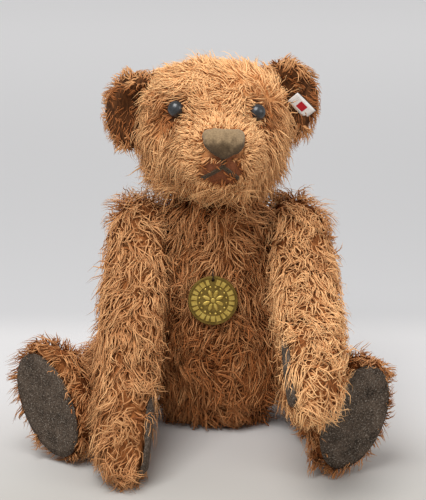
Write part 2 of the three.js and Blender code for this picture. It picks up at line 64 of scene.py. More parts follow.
# %% Camera
SENSOR_MM = 36
FOCAL_IN_HEIGHTS = 3.5
LOOK_DOWN_DEG = 15
CAMERA_AT = (-0.004, -1.3057, 0.4795)
camera_data = bpy.data.cameras.new("camera")
camera_data.sensor_width = SENSOR_MM
camera_data.lens = SENSOR_MM * FOCAL_IN_HEIGHTS
camera = bpy.data.objects.new("camera", camera_data)
camera.location = CAMERA_AT
camera.rotation_euler = (math.radians(90 - LOOK_DOWN_DEG), 0, 0)
scene.collection.objects.link(camera)
scene.camera = camera
scene.view_settings.view_transform = "Standard"
print("camera: lens", round(camera_data.lens, 1), "mm")

# %% [markdown]
# ## Shader maths
# A finish is a small graph of nodes. Wrapping a socket in a class lets the sums be written as plain Python,
# and one method adds every other node: its settings first, then the values or links of its sockets.


# %% Shader helpers
class Wire:
    """An output socket that adds Math nodes when it is used in a sum."""

    def __init__(self, finish, socket):
        self.finish = finish
        self.socket = socket

    def maths(self, operation, first, second):
        return self.finish.add("ShaderNodeMath", {"operation": operation}, {0: first, 1: second})

    def __add__(self, other):
        return self.maths("ADD", self, other)

    def __rsub__(self, other):
        return self.maths("SUBTRACT", other, self)

    def __mul__(self, other):
        return self.maths("MULTIPLY", self, other)

    def __rmul__(self, other):
        return self.maths("MULTIPLY", other, self)


class Finish:
    """A material whose nodes are added one by one round a Principled shader."""

    def __init__(self, name, roughness, **steady):
        self.material = bpy.data.materials.new(name)
        self.material.use_nodes = True
        self.tree = self.material.node_tree
        self.shader = self.tree.nodes["Principled BSDF"]
        self.shader.inputs["Roughness"].default_value = roughness
        for socket, value in steady.items():
            self.shader.inputs[socket.replace("_", " ")].default_value = value

    def add(self, kind, settings, sockets, output=0):
        node = self.tree.nodes.new(kind)
        for key, value in settings.items():
            setattr(node, key, value)
        for key, value in sockets.items():
            self.join(node.inputs[key], value)
        return Wire(self, node.outputs[output])

    def join(self, socket, value):
        if isinstance(value, Wire):
            self.tree.links.new(value.socket, socket)
        else:
            socket.default_value = value

    def feed(self, socket, value):
        self.join(self.shader.inputs[socket], value)

    def place(self):
        return self.add("ShaderNodeTexCoord", {}, {}, "Object")

    def part(self, vector, axis):
        return self.add("ShaderNodeSeparateXYZ", {}, {0: vector}, axis)

    def noise(self, scale, detail=3, rough=0.55, at=None):
        sockets = {"Vector": at or self.place(), "Scale": scale, "Detail": detail, "Roughness": rough}
        return self.add("ShaderNodeTexNoise", {}, sockets, "Fac")

    def ramp(self, value, low, high):
        sockets = {"Value": value, "From Min": low, "From Max": high}
        return self.add("ShaderNodeMapRange", {"interpolation_type": "SMOOTHSTEP"}, sockets)

    def blend(self, share, first, second):
        sockets = {0: share, 6: first, 7: second}
        return self.add("ShaderNodeMix", {"data_type": "RGBA"}, sockets, 2)

    def bump(self, height, strength, distance):
        sockets = {"Height": height, "Strength": strength, "Distance": distance}
        self.feed("Normal", self.add("ShaderNodeBump", {}, sockets))


def tone(red, green, blue):
    """A colour given as it looks on a screen, from 0 to 255, in the linear form that a shader takes."""
    parts = [x / 255 for x in (red, green, blue)]
    return tuple(((x + 0.055) / 1.055) ** 2.4 if x > 0.04 else x / 12.92 for x in parts) + (1.0,)


# %% [markdown]
# ## Floor and light
# The picture has a pale table and soft light from above and in front. One broad lamp gives the gentle
# modelling, and an even world fills the shadows. Behind the bear the table meets a sweep of greyer paper.

# %% Stage
FLOOR_R = 4.0
ROOM_LIGHT = 0.72
floor_bm = bmesh.new()
bmesh.ops.create_circle(floor_bm, cap_ends=True, segments=96, radius=FLOOR_R)
floor_mesh = bpy.data.meshes.new("floor")
floor_bm.to_mesh(floor_mesh)
floor_bm.free()
floor = bpy.data.objects.new("floor", floor_mesh)
scene.collection.objects.link(floor)

floor_finish = Finish("pale_table", 0.6, Specular_IOR_Level=0.2)
depth = floor_finish.part(floor_finish.place(), "Y")
# The table is painted darker towards the front, in front of the bear: a painted shadow.
table_with_painted_shadow = floor_finish.blend(floor_finish.ramp(depth, -0.24, 0.1), tone(178, 175, 169), tone(214, 213, 213))
sweep = floor_finish.blend(floor_finish.ramp(depth, 0.2, 2.3), tone(197, 197, 198), tone(243, 243, 244))
floor_finish.feed("Base Color", floor_finish.blend(floor_finish.ramp(depth, 0.17, 0.27), table_with_painted_shadow, sweep))
floor_mesh.materials.append(floor_finish.material)

world = bpy.data.worlds.new("soft_room")
world.use_nodes = True
room = world.node_tree.nodes["Background"].inputs
room["Color"].default_value = tone(244, 243, 243)
room["Strength"].default_value = ROOM_LIGHT
scene.world = world


def softbox(name, at, towards, size, watts):
    """A square area lamp at a point, turned to look at another."""
    data = bpy.data.lights.new(name, "AREA")
    data.size = size
    data.energy = watts
    lamp = bpy.data.objects.new(name, data)
    lamp.location = at
    lamp.rotation_euler = (Vector(towards) - Vector(at)).to_track_quat("-Z", "Y").to_euler()
    scene.collection.objects.link(lamp)


softbox("overhead_lamp", (-0.35, -0.75, 1.45), (0, -0.05, 0.12), 0.9, 22)
softbox("right_lamp", (1.3, -0.9, 0.8), (0, 0, 0.15), 0.8, 5)
print("stage: floor, world and two lamps")

# %% [markdown]
# ## Where the joints are
# A jointed bear turns on discs held by split pins. The frame's joints say where each pin is and which way
# it points. The side that a limb lies on gives the outward direction.

# %% Joint places
LIMB_NODE = {"neck": "head", "right_shoulder": "right_arm", "left_shoulder": "left_arm",
             "right_hip": "right_leg", "left_hip": "left_leg"}


def points_of(node):
    mesh = frame["nodes"][node].data
    flat = np.zeros(len(mesh.vertices) * 3)
    mesh.vertices.foreach_get("co", flat)
    return flat.reshape(-1, 3)


def unit(vectors):
    size = np.linalg.norm(vectors, axis=-1, keepdims=True)
    return vectors / np.maximum(size, 1e-9)


joints = {}
for joint in frame["joints"]:
    pin = np.array(joint["pos_m"])
    axis = unit(np.array(joint["axis"]))
    limb = points_of(LIMB_NODE[joint["name"]]).mean(axis=0) - pin
    outward = axis * np.sign(axis @ limb)
    along = unit(limb - outward * (outward @ limb))
    joints[joint["name"]] = {"pin": pin, "outward": outward, "along": along}
print("joints:", {name: np.round(j["outward"], 2).tolist() for name, j in joints.items()})

# %% [markdown]
# The face has a frame of its own: x looks out of the muzzle, y is the bear's left and z is up. The head is
# turned, lifted and tipped a few degrees, as a hand left it.

# %% Face frame
HEAD_YAW, HEAD_PITCH, HEAD_ROLL = 5, 5, 3
FACE_PLACE = (3, -3, 48)
ahead = Vector((math.sin(math.radians(HEAD_YAW)), -math.cos(math.radians(HEAD_YAW)), 0))
leftward = Vector((0, 0, 1)).cross(ahead)
face = Matrix((ahead, leftward, (0, 0, 1))).transposed().to_4x4()
face.translation = Vector(joints["neck"]["pin"])
face = face @ Matrix.Translation(Vector(FACE_PLACE) * MM)
for degrees, about in ((-HEAD_ROLL, "X"), (-HEAD_PITCH, "Y")):
    face = face @ Matrix.Rotation(math.radians(degrees), 4, about)
FACE_TURN = np.array(face.to_3x3())
FACE_AT = np.array(face.translation)


def in_face(points):
    """Points as millimetres ahead, left and up from the middle of the skull."""
    return (points - FACE_AT) @ FACE_TURN / MM


def from_face(x, y, z):
    return Vector(face @ (Vector((x, y, z)) * MM))


eyes_at = {side: np.median(in_face(points_of(f"{side}_eye")), axis=0) for side in ("right", "left")}
print("eyes in the face, mm:", {side: np.round(at).tolist() for side, at in eyes_at.items()})

# %% [markdown]
# ## Cloth skins
# Each stuffed part is a bag of mohair cloth packed hard with wood wool. The frame's solid is remeshed into
# even quads, shrunk a little and blown up again as cloth under pressure, so that it swells between its
# seams as a stuffed bag does. A plug first closes the small hole where the split pin passes.

# %% Skin helpers
PIN_PLUG_R = 4 * MM
PIN_PLUG_DEPTH, PIN_PLUG_GAP = 12 * MM, 0.3 * MM
SKIN_RELAX = 3
SHRINK = 1.2 * MM
SWELL_CAP = 1.6 * MM
CLOTH_FRAMES = 20
PRESSURE = 4


def link(name, mesh):
    piece = bpy.data.objects.new(name, mesh)
    scene.collection.objects.link(piece)
    return piece


def finished(name, bm):
    mesh = bpy.data.meshes.new(name)
    bm.to_mesh(mesh)
    bm.free()
    return link(name, mesh)


def settle(piece):
    """Turns a piece's modifiers into its mesh."""
    graph = bpy.context.evaluated_depsgraph_get()
    made = bpy.data.meshes.new_from_object(piece.evaluated_get(graph))
    piece.modifiers.clear()
    piece.data = made
    made.name = piece.name


def new_verts(made):
    """The vertices in what a bmesh operator says that it made."""
    return [g for g in made if isinstance(g, bmesh.types.BMVert)]


def facing(direction):
    """A turn that brings z to a direction."""
    return direction.to_track_quat("Z", "Y").to_matrix().to_4x4()


def merged_copy(node):
    bm = bmesh.new()
    bm.from_mesh(frame["nodes"][node].data)
    bmesh.ops.remove_doubles(bm, verts=bm.verts, dist=1e-6)
    return bm


def plug(bm, joint, side):
    """Closes the pin's hole on one side of a joint: 1 is the limb's side and -1 the body's."""
    place = joints[joint]
    out = Vector(place["outward"]) * side
    middle = Vector(place["pin"]) + out * (PIN_PLUG_DEPTH / 2 + PIN_PLUG_GAP)
    bmesh.ops.create_cone(bm, cap_ends=True, segments=12, radius1=PIN_PLUG_R, radius2=PIN_PLUG_R,
                          depth=PIN_PLUG_DEPTH, matrix=Matrix.Translation(middle) @ facing(out))


def relax(bm, rounds):
    """Evens out the bumps of a mesh, a little more with each round."""
    for _ in range(rounds):
        bmesh.ops.smooth_vert(bm, verts=bm.verts, factor=0.5,
                              use_axis_x=True, use_axis_y=True, use_axis_z=True)


def shade_smooth(piece):
    for polygon in piece.data.polygons:
        polygon.use_smooth = True


def keep_largest(bm):
    """Drops what the remesh left inside."""
    left, islands = set(bm.verts), []
    while left:
        found, stack = set(), [next(iter(left))]
        while stack:
            vertex = stack.pop()
            if vertex in found:
                continue
            found.add(vertex)
            stack.extend(edge.other_vert(vertex) for edge in vertex.link_edges)
        left -= found
        islands.append(found)
    largest = max(islands, key=len)
    inner = [v for v in bm.verts if v not in largest]
    bmesh.ops.delete(bm, geom=inner, context="VERTS")


def even_skin(name, node, voxel, plugs=()):
    """The node's outside as even quads."""
    bm = merged_copy(node)
    for joint, side in plugs:
        plug(bm, joint, side)
    piece = finished(name, bm)
    remesh = piece.modifiers.new("even", "REMESH")
    remesh.mode = "VOXEL"
    remesh.voxel_size = voxel
    settle(piece)
    bm = bmesh.new()
    bm.from_mesh(piece.data)
    keep_largest(bm)
    relax(bm, SKIN_RELAX)
    bmesh.ops.recalc_face_normals(bm, faces=bm.faces)
    bm.to_mesh(piece.data)
    bm.free()
    return piece


def stuff(piece):
    """Shrinks a skin, blows it up as cloth, caps how far each point may move and keeps it off the floor."""
    start = np.zeros(len(piece.data.vertices) * 3)
    piece.data.vertices.foreach_get("co", start)
    start = start.reshape(-1, 3)
    normals = np.array([v.normal for v in piece.data.vertices])
    small = start - normals * SHRINK
    piece.data.vertices.foreach_set("co", small.ravel())
    cloth = piece.modifiers.new("stuffing", "CLOTH")
    cloth.settings.quality = 4
    cloth.settings.use_pressure = True
    cloth.settings.uniform_pressure_force = PRESSURE
    cloth.settings.effector_weights.gravity = 0
    for step in range(1, CLOTH_FRAMES + 1):
        scene.frame_set(step)
    settle(piece)
    scene.frame_set(1)
    blown = np.zeros(len(start) * 3)
    piece.data.vertices.foreach_get("co", blown)
    move = blown.reshape(-1, 3) - small
    far = np.linalg.norm(move, axis=1, keepdims=True)
    move *= np.minimum(1, SWELL_CAP / np.maximum(far, 1e-9))
    small += move
    small[:, 2] = np.maximum(small[:, 2], 0)
    piece.data.vertices.foreach_set("co", small.ravel())
    piece.data.update()
    return float(far.max())


# %% Skins
BODY_OF = {"body": "torso", "head": "head", "right_ear": "head", "left_ear": "head",
           "right_arm": "right_arm", "left_arm": "left_arm",
           "right_leg": "right_leg", "left_leg": "left_leg"}
SKIN_VOXEL = {"body": 5 * MM, "head": 4.5 * MM, "right_ear": 3 * MM, "left_ear": 3 * MM}
LIMB_VOXEL = 4.5 * MM
PLUGS = {node: [(joint, 1)] for joint, node in LIMB_NODE.items()}
PLUGS["body"] = [(joint, -1) for joint in LIMB_NODE]

skins, ground = {}, {}
for node, body in BODY_OF.items():
    skin = even_skin(f"{node}_cloth", node, SKIN_VOXEL.get(node, LIMB_VOXEL), PLUGS.get(node, ()))
    ground[node] = skin.data.copy()
    moved = 0.0 if ("ear" in node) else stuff(skin)
    shade_smooth(skin)
    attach(skin, body)
    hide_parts(node)
    skins[node] = skin
    print(skin.name, len(skin.data.polygons), "faces, swelled", round(moved / MM, 1), "mm before the cap")

# %% [markdown]
# ## Backing cloth
# Mohair pile is woven into a cotton backing, dyed with it. Where the long pile has worn away a short nap is
# left. The backing is painted darker than the tips: painted shade, because little light comes down between
# the locks.

# %% Backing finish
FIBRE_STRETCH = (1.0, 1.0, 0.22)


def backing(name, dark, light):
    """Cloth under a nap of short fibres, drawn as noise that is stretched the way the pile runs."""
    finish = Finish(name, 0.9, Specular_IOR_Level=0.15)
    bent = finish.add("ShaderNodeTexNoise", {}, {"Vector": finish.place(), "Scale": 55.0}, "Color")
    lean = finish.add("ShaderNodeVectorMath", {"operation": "SCALE"}, {0: bent, "Scale": 14 * MM})
    moved = finish.add("ShaderNodeVectorMath", {"operation": "ADD"}, {0: finish.place(), 1: lean})
    long = finish.add("ShaderNodeVectorMath", {"operation": "MULTIPLY"}, {0: moved, 1: FIBRE_STRETCH})
    fibres = finish.noise(520, 4, 0.6, long)
    mottled = finish.noise(60, 4)
    share = finish.ramp(fibres * 0.9 + mottled * 0.5, 0.45, 0.95)
    finish.feed("Base Color", finish.blend(share, dark, light))
    finish.bump(fibres, 0.8, 1.2 * MM)
    return finish


plain_backing = backing("mohair_backing", tone(92, 51, 24), tone(160, 98, 52))
# The ears' backing is darker still: dirt, with painted shade in the cups of the ears.
ear_backing = backing("ear_backing", tone(46, 26, 13), tone(104, 64, 34))
for node, skin in skins.items():
    if node != "head":
        skin.data.materials.append((ear_backing if "ear" in node else plain_backing).material)

MOUTH_AT = (72, 0, -25)


def distance_from(finish, at):
    return finish.add("ShaderNodeVectorMath", {"operation": "DISTANCE"},
                      {0: finish.place(), 1: tuple(from_face(*at))}, "Value")


def base_so_far(finish):
    """The wire that now feeds a finish's colour, to be mixed with more."""
    return Wire(finish, finish.shader.inputs["Base Color"].links[0].from_socket)


face_backing = backing("worn_face_backing", tone(150, 92, 50), tone(226, 160, 102))
ragged = distance_from(face_backing, MOUTH_AT) + face_backing.noise(120) * (10 * MM)
bare = 1 - face_backing.ramp(ragged, 17 * MM, 28 * MM)
rusty = face_backing.blend(face_backing.noise(420, 5), tone(92, 50, 32), tone(150, 92, 60))
face_backing.feed("Base Color", face_backing.blend(bare, base_so_far(face_backing), rusty))
# The backing round each eye is painted dark: painted shade in the eye sockets.
eye_shade_share = 1.0
for spot in eyes_at.values():
    eye_shade_share = eye_shade_share * face_backing.ramp(distance_from(face_backing, spot), 8 * MM, 18 * MM)
face_backing.feed("Base Color", face_backing.blend(eye_shade_share, tone(74, 42, 22), base_so_far(face_backing)))
skins["head"].data.materials.append(face_backing.material)
print("backing: fibres drawn out", round(1 / FIBRE_STRETCH[2], 1), "times")

# %% [markdown]
# ## The pile
# Mohair grows in locks: a few wavy fibres that cling together and thin to a point. A hair system would
# leave no mesh behind, so one closed three-sided lock is modelled once, and every lock of the pile is that
# shape drawn along a curve of its own. Each curve starts in the cloth, leans the way the pile is combed,
# waves, sags and is drawn towards the lock beside it that leads.

# %% One lock
LOCK_RINGS = 4
LOCK_WIDE, LOCK_FLAT = 1.5, 0.6
ROOT_DEPTH = 1.6 * MM
CLIPPED = 0.4


def lock_shape(rings):
    """A three-sided spike of one unit: returns each vertex's ring and place round it, and the triangles."""
    bm = bmesh.new()
    bmesh.ops.create_circle(bm, cap_ends=True, segments=3, radius=1)
    bmesh.ops.reverse_faces(bm, faces=bm.faces)
    top = bm.faces[:]
    for _ in range(rings):
        made = bmesh.ops.extrude_face_region(bm, geom=top, use_keep_orig=False)["geom"]
        top_verts = new_verts(made)
        bmesh.ops.translate(bm, verts=top_verts, vec=(0, 0, 1))
        covered = [f for f in top if f.is_valid and f.calc_center_median().z > 0.5]
        bmesh.ops.delete(bm, geom=covered, context="FACES")
        top = [g for g in made if isinstance(g, bmesh.types.BMFace)]
    bmesh.ops.pointmerge(bm, verts=top_verts, merge_co=(0, 0, rings))
    foot = [v for v in bm.verts if v.co.z < 1e-6]
    if not any(all(v in foot for v in f.verts) for f in bm.faces):
        bmesh.ops.contextual_create(bm, geom=foot)
    bmesh.ops.recalc_face_normals(bm, faces=bm.faces)
    bmesh.ops.triangulate(bm, faces=bm.faces)
    bm.verts.index_update()
    at = np.array([v.co for v in bm.verts])
    triangles = np.array([[v.index for v in f.verts] for f in bm.faces])
    bm.free()
    return np.rint(at[:, 2]).astype(int), at[:, :2], triangles


lock_ring, lock_round, lock_triangles = lock_shape(LOCK_RINGS)
print("lock:", len(lock_ring), "vertices,", len(lock_triangles), "triangles")


# %% Pad places
def solid_tree(node):
    bm = merged_copy(node)
    tree = BVHTree.FromBMesh(bm)
    bm.free()
    return tree


def oval_frame(node, tree):
    """The middle of a thin oval node, its long and short directions, its outward normal and half sizes."""
    at = points_of(node)
    middle = at.mean(axis=0)
    turn = np.linalg.svd(at - middle, full_matrices=False)[2]
    span = (at - middle) @ turn.T
    middle = middle + (span.max(axis=0) + span.min(axis=0)) / 2 @ turn
    normal = tree.find_nearest(Vector(middle))[1]
    out = Vector(turn[2]) * (1 if Vector(turn[2]).dot(normal) > 0 else -1)
    half = (span.max(axis=0) - span.min(axis=0)) / 2
    return Vector(middle), Vector(turn[0]), Vector(turn[1]), out, half


PALM_BARE, SOLE_BARE = (0.9, 0.2), (0.82, 0.82)
PADS = {}
for side in ("right", "left"):
    PADS[f"{side}_arm"] = [(oval_frame(f"{side}_palm_felt", solid_tree(f"{side}_arm")), PALM_BARE)]
    PADS[f"{side}_leg"] = [(oval_frame(f"{side}_sole_felt", solid_tree(f"{side}_leg")), SOLE_BARE)]
MEDAL_AT = oval_frame("medal", solid_tree("body"))
print("pads:", {node: np.round(pads[0][0][4] / MM).tolist() for node, pads in PADS.items()})


# %% Scatter, swirl and grow
SWIRL_WAVES = 16


class Swirl:
    """A smooth random field of vectors: a sum of waves that run every way."""

    def __init__(self, seed, length):
        rng = np.random.default_rng(seed)
        waves = SWIRL_WAVES
        heading = unit(rng.normal(size=(waves, 3)))
        self.run = heading * (2 * math.pi / length) * rng.uniform(0.6, 1.5, (waves, 1))
        self.start = rng.uniform(0, 2 * math.pi, waves)
        self.push = rng.normal(size=(waves, 3)) / math.sqrt(waves / 2)

    def __call__(self, points):
        return np.sin(points @ self.run.T + self.start) @ self.push


def scatter(mesh, count, rng):
    """Random places spread evenly over a mesh, with its smooth normals."""
    mesh.calc_loop_triangles()
    corners = np.array([t.vertices[:] for t in mesh.loop_triangles])
    at = np.array([v.co for v in mesh.vertices])
    normals = np.array([v.normal for v in mesh.vertices])
    a, b, c = (at[corners[:, k]] for k in range(3))
    area = np.linalg.norm(np.cross(b - a, c - a), axis=1)
    pick = rng.choice(len(corners), count, p=area / area.sum())
    u, v = rng.random((2, count))
    over = u + v > 1
    u[over], v[over] = 1 - u[over], 1 - v[over]
    share = np.stack([1 - u - v, u, v], axis=1)
    spot = np.einsum("nk,nkj->nj", share, at[corners[pick]])
    lean = np.einsum("nk,nkj->nj", share, normals[corners[pick]])
    return spot, unit(lean)


def flattened(vectors, normals):
    """The part of each vector that lies in the cloth, at unit length."""
    return unit(vectors - normals * np.sum(vectors * normals, axis=1, keepdims=True))


TREES = {node: BVHTree.FromObject(skins[node], bpy.context.evaluated_depsgraph_get()) for node in skins}
FLOOR_CLEAR, LOCK_ABOVE_FLOOR = 0.5 * MM, 0.1 * MM
OTHER_CLEAR, OWN_CLEAR = 0.4 * MM, 0.7 * MM
PAD_BELOW, PAD_ABOVE = 4 * MM, 40 * MM
TUCK_DEPTH, TUCK_REACH = 2 * MM, 1.04
LOCKS_PER_LEADER = 6
OWN_CLOTH = {"muzzle": "head"}
swirl_curl = Swirl(5, 15 * MM)


def clear_of(paths, others, room):
    """Moves the points of a lock that lie in some part's cloth, or in the floor, out to the surface."""
    flat = paths.reshape(-1, 3)
    for node in others:
        low, high = (np.array(c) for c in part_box(node))
        near = np.flatnonzero(np.all((flat > low) & (flat < high), axis=1))
        for index in near:
            point = Vector(flat[index])
            spot, normal, _, _ = TREES[node].find_nearest(point)
            if (point - spot).dot(normal) < room:
                flat[index] = spot + normal * room
    flat[:, 2] = np.maximum(flat[:, 2], FLOOR_CLEAR)
    return flat.reshape(paths.shape)


def off_pads(paths, pads, rng):
    """Which locks leave a pad clear. Each pad says how much of it is bare, below its middle and above."""
    keep = np.ones(len(paths), dtype=bool)
    for (middle, long, short, out, half), bare in pads:
        off = paths - np.array(middle)
        across = np.hypot(off @ np.array(long) / half[0], off @ np.array(short) / half[1])
        height = off @ np.array(out)
        beside = (height > -PAD_BELOW) & (height < PAD_ABOVE)
        reach = np.where(beside, across, np.inf).min(axis=1)
        low = off[:, :, 2].mean(axis=1) < 0
        keep &= reach > rng.uniform(np.where(low, bare[0], bare[1]), 1.0)
    return keep


def tucked(paths, flat_piece):
    """Moves the points of a lock that would cross a flat hanging piece to just behind it."""
    middle, long, short, out, half = (np.array(part) for part in flat_piece)
    off = paths - middle
    across = np.hypot(off @ long / half[0], off @ short / half[1])
    height = off @ out
    over = (across < TUCK_REACH) & (height > -TUCK_DEPTH) & (height < PAD_ABOVE)
    return paths - np.where(over, height + TUCK_DEPTH, 0)[..., None] * out


def grow_pile(name, node, count, seed, comb, others, pads):
    """Grows one part's pile. comb gives each place its look: direction, length and so on."""
    rng = np.random.default_rng(seed)
    roots, normals = scatter(ground[node], count, rng)
    look = comb(roots, normals, rng)
    keep = rng.random(count) < look["keep"]
    roots, normals = roots[keep], normals[keep]
    look = {key: value[keep] for key, value in look.items()}
    total = len(roots)
    step = np.linspace(0, 1, LOCK_RINGS + 1)[None, :, None]
    length = look["length"][:, None]
    lift = look["lift"][:, None]
    along = flattened(look["along"] + look["stir"][:, None] * rng.normal(size=(total, 3)), normals)
    leave = unit(normals * lift + along * (1 - lift))
    side = unit(np.cross(leave, normals))
    rise = np.cross(side, leave)
    hug = look["length"] / (4 * look["round"])
    fall = np.array([0, 0, -1.0]) + normals * np.maximum(0, normals[:, 2:])
    sag = fall * look["sag"][:, None] - normals * (lift * 0.2 + hug[:, None])
    depth = ROOT_DEPTH * (1 - step) ** 3
    paths = roots[:, None] - normals[:, None] * depth
    paths = paths + length[:, None] * (step * leave[:, None] + step ** 2 * sag[:, None])
    turn = 2 * math.pi * look["waves"][:, None, None] * step + rng.uniform(0, 2 * math.pi, (total, 1, 1))
    wave = look["curl"][:, None, None] * np.power(step, 0.8)
    sway = np.cos(turn) * side[:, None] + 0.4 * np.sin(turn) * rise[:, None]
    paths += wave * (sway + 0.2 * normals[:, None])
    shared = swirl_curl(paths.reshape(-1, 3)).reshape(paths.shape) - swirl_curl(roots)[:, None]
    shared -= 0.7 * normals[:, None] * np.sum(shared * normals[:, None], axis=2, keepdims=True)
    paths += shared * look["bend"][:, None, None]
    leaders = max(1, total // LOCKS_PER_LEADER)
    tree = KDTree(leaders)
    for index in range(leaders):
        tree.insert(roots[index], index)
    tree.balance()
    leader = np.array([tree.find(root)[1] for root in roots])
    cling = look["cling"][:, None, None] * np.power(step, 1.2)
    paths += (paths[leader] - paths) * cling
    paths = clear_of(paths, others, OTHER_CLEAR)
    paths[:, 1:] = clear_of(paths[:, 1:], [OWN_CLOTH.get(node, node)], OWN_CLEAR)
    tint = look["tint"] + 0.10 * rng.normal(size=total) + (0.08 * rng.normal(size=leaders))[leader]
    tint = np.clip(tint, 0.01, 0.99)
    if node == "body":
        paths = tucked(paths, MEDAL_AT)
    clipped = paths[:, :1] + CLIPPED * (paths - paths[:, :1])
    paths = np.where(off_pads(paths, pads, rng)[:, None, None], paths, clipped)
    free = off_pads(paths, pads, rng)
    return lock_mesh(name, paths[free], look["radius"][free], tint[free], normals[free])


def lock_mesh(name, paths, radius, tint, normals):
    """Draws the one lock along every path and joins them into one piece."""
    total, vertices = len(paths), len(lock_ring)
    heading = unit(np.gradient(paths, axis=1))
    side = unit(np.cross(heading, normals[:, None] + 0.01))
    rise = np.cross(side, heading)
    share = np.linspace(0, 1, LOCK_RINGS + 1)
    taper = np.power(1 - share, 0.75) * (0.85 + 0.5 * share)
    thick = radius[:, None, None] * taper[None, :, None]
    offset = side[:, lock_ring] * lock_round[None, :, :1] * LOCK_WIDE
    offset += rise[:, lock_ring] * lock_round[None, :, 1:] * LOCK_FLAT
    place = paths[:, lock_ring] + offset * thick[:, lock_ring]
    place[:, :, 2] = np.maximum(place[:, :, 2], LOCK_ABOVE_FLOOR)
    triangles = (lock_triangles[None] + np.arange(total)[:, None, None] * vertices).reshape(-1, 3)
    mesh = bpy.data.meshes.new(name)
    mesh.vertices.add(total * vertices)
    mesh.vertices.foreach_set("co", place.astype(np.float32).ravel())
    mesh.loops.add(triangles.size)
    mesh.loops.foreach_set("vertex_index", triangles.astype(np.int32).ravel())
    mesh.polygons.add(len(triangles))
    mesh.polygons.foreach_set("loop_start", np.arange(0, triangles.size, 3, dtype=np.int32))
    mesh.polygons.foreach_set("use_smooth", np.ones(len(triangles), dtype=bool))
    mesh.update(calc_edges=True)
    uv = mesh.uv_layers.new(name="OFBake")
    across = np.repeat(tint, vertices)[triangles.ravel()]
    upward = np.tile(np.clip(share, 0.02, 0.98)[lock_ring], total)[triangles.ravel()]
    uv.data.foreach_set("uv", np.stack([across, upward], axis=1).astype(np.float32).ravel())
    return link(name, mesh)


print("pile: helpers ready")

# %% [markdown]
# ## How the pile lies
# On the limbs the pile runs down to the paws, and on the body it falls, but years of handling have left
# swirls. The face is the most worn: clipped short and straight round the nose, flat and swept sideways on
# the brow, and hanging long on the cheeks and chin. A comb is a function that says this for any place.

# %% Combs
swirl_wide = Swirl(3, 46 * MM)
swirl_fine = Swirl(4, 17 * MM)
THIN_SHARE, STRAY_SHARE, UNDER_SHARE = 0.35, 0.02, 0.3
PRESSED_GAP = 2.5 * MM
PRESSED_R, NECK_PRESSED_R = 34 * MM, 24 * MM
WORN_THIN = 0.95


def even_look(roots, rng, length, lift, sag, curl, radius, tint, round_r):
    """The look that most of the pile shares, with small differences from lock to lock. Sizes are in mm."""
    n = len(roots)
    thin = rng.random(n) < THIN_SHARE
    stray = rng.random(n) < STRAY_SHARE
    under = rng.random(n) < UNDER_SHARE
    size = np.where(thin, rng.uniform(0.45, 0.65, n), rng.uniform(0.8, 1.2, n))
    rise = np.where(under, 0.12, np.clip(lift + 0.1 * rng.normal(size=n), 0.06, 0.8))
    return {
        "keep": np.ones(n),
        "stir": np.where(under, 1.0, 0.2),
        "length": length * MM * rng.uniform(0.7, 1.2, n) * np.where(under, 0.7, 1),
        "lift": np.where(stray, 0.75, rise),
        "sag": np.full(n, sag) * rng.uniform(0.6, 1.4, n),
        "curl": 0.35 * curl * MM * rng.uniform(0.5, 1.4, n),
        "bend": 0.45 * curl * MM * rng.uniform(0.8, 1.2, n),
        "waves": rng.uniform(0.9, 1.6, n),
        "cling": rng.uniform(0.35, 0.75, n),
        "radius": radius * MM * np.where(under, 1.4, size),
        # Underpile locks are painted darker: painted shade beneath the upper pile.
        "tint": np.where(under, tint - 0.15, tint),
        "round": np.full(n, round_r * MM),
    }


def pressed(roots, joint_names, reach):
    """How far each place lies inside the flat ring where two parts press together, from 0 to 1."""
    share = np.zeros(len(roots))
    for joint in joint_names:
        outward = joints[joint]["outward"]
        off = roots - joints[joint]["pin"]
        height = off @ outward
        wide = np.linalg.norm(off - np.outer(height, outward), axis=1)
        share = np.maximum(share, ((np.abs(height) < PRESSED_GAP) & (wide < reach)).astype(float))
    return share


def body_comb(roots, normals, rng):
    look = even_look(roots, rng, length=24, lift=0.23, sag=0.12, curl=4.2,
                     radius=0.62, tint=0.19, round_r=55)
    look["along"] = np.array([0, 0, -1.0]) + 0.45 * swirl_wide(roots) + 0.35 * swirl_fine(roots)
    look["keep"] = 1 - WORN_THIN * pressed(roots, LIMB_NODE, PRESSED_R)
    # The body is painted paler towards the top and darker low down: painted light from above, and painted
    # shade on the belly under the head.
    look["tint"] += 0.2 * smooth_step(roots[:, 2], 70 * MM, 130 * MM) - 0.07
    collar = smooth_step(joints["neck"]["pin"][2] - roots[:, 2], 0, 24 * MM)
    look["lift"] = look["lift"] + 0.2 * (1 - collar)
    look["length"] *= 1.25 - 0.25 * collar
    seat = (roots[:, 2] < 6 * MM) & (normals[:, 2] < -0.6)
    look["keep"] = np.where(seat, 0.25, look["keep"])
    return look


ARM_TINT = {"right_shoulder": -0.05, "left_shoulder": 0.16}


def limb_comb(joint):
    place = joints[joint]

    def comb(roots, normals, rng):
        look = even_look(roots, rng, length=22, lift=0.25, sag=0.1, curl=4.0,
                         radius=0.54, tint=0.54, round_r=32)
        look["along"] = place["along"] + 0.4 * swirl_wide(roots) + 0.35 * swirl_fine(roots)
        look["keep"] = 1 - WORN_THIN * pressed(roots, [joint], PRESSED_R)
        middle, _, _, out, _ = PADS[LIMB_NODE[joint]][0][0]
        down = (roots - place["pin"]) @ place["along"]
        if joint.endswith("hip"):
            height = (roots - np.array(middle)) @ np.array(out)
            look["length"] *= 1 - 0.45 * smooth_step(height, -24 * MM, -3 * MM)
            look["tint"] -= 0.22
        else:
            top = 1 - smooth_step(down, -18 * MM, -2 * MM)
            look["length"] *= 1 + 0.35 * top
            look["lift"] = look["lift"] + 0.18 * top
            look["tint"] += ARM_TINT[joint] * (0.5 + 1.5 * smooth_step(down, 60 * MM, 110 * MM))
        return look

    return comb


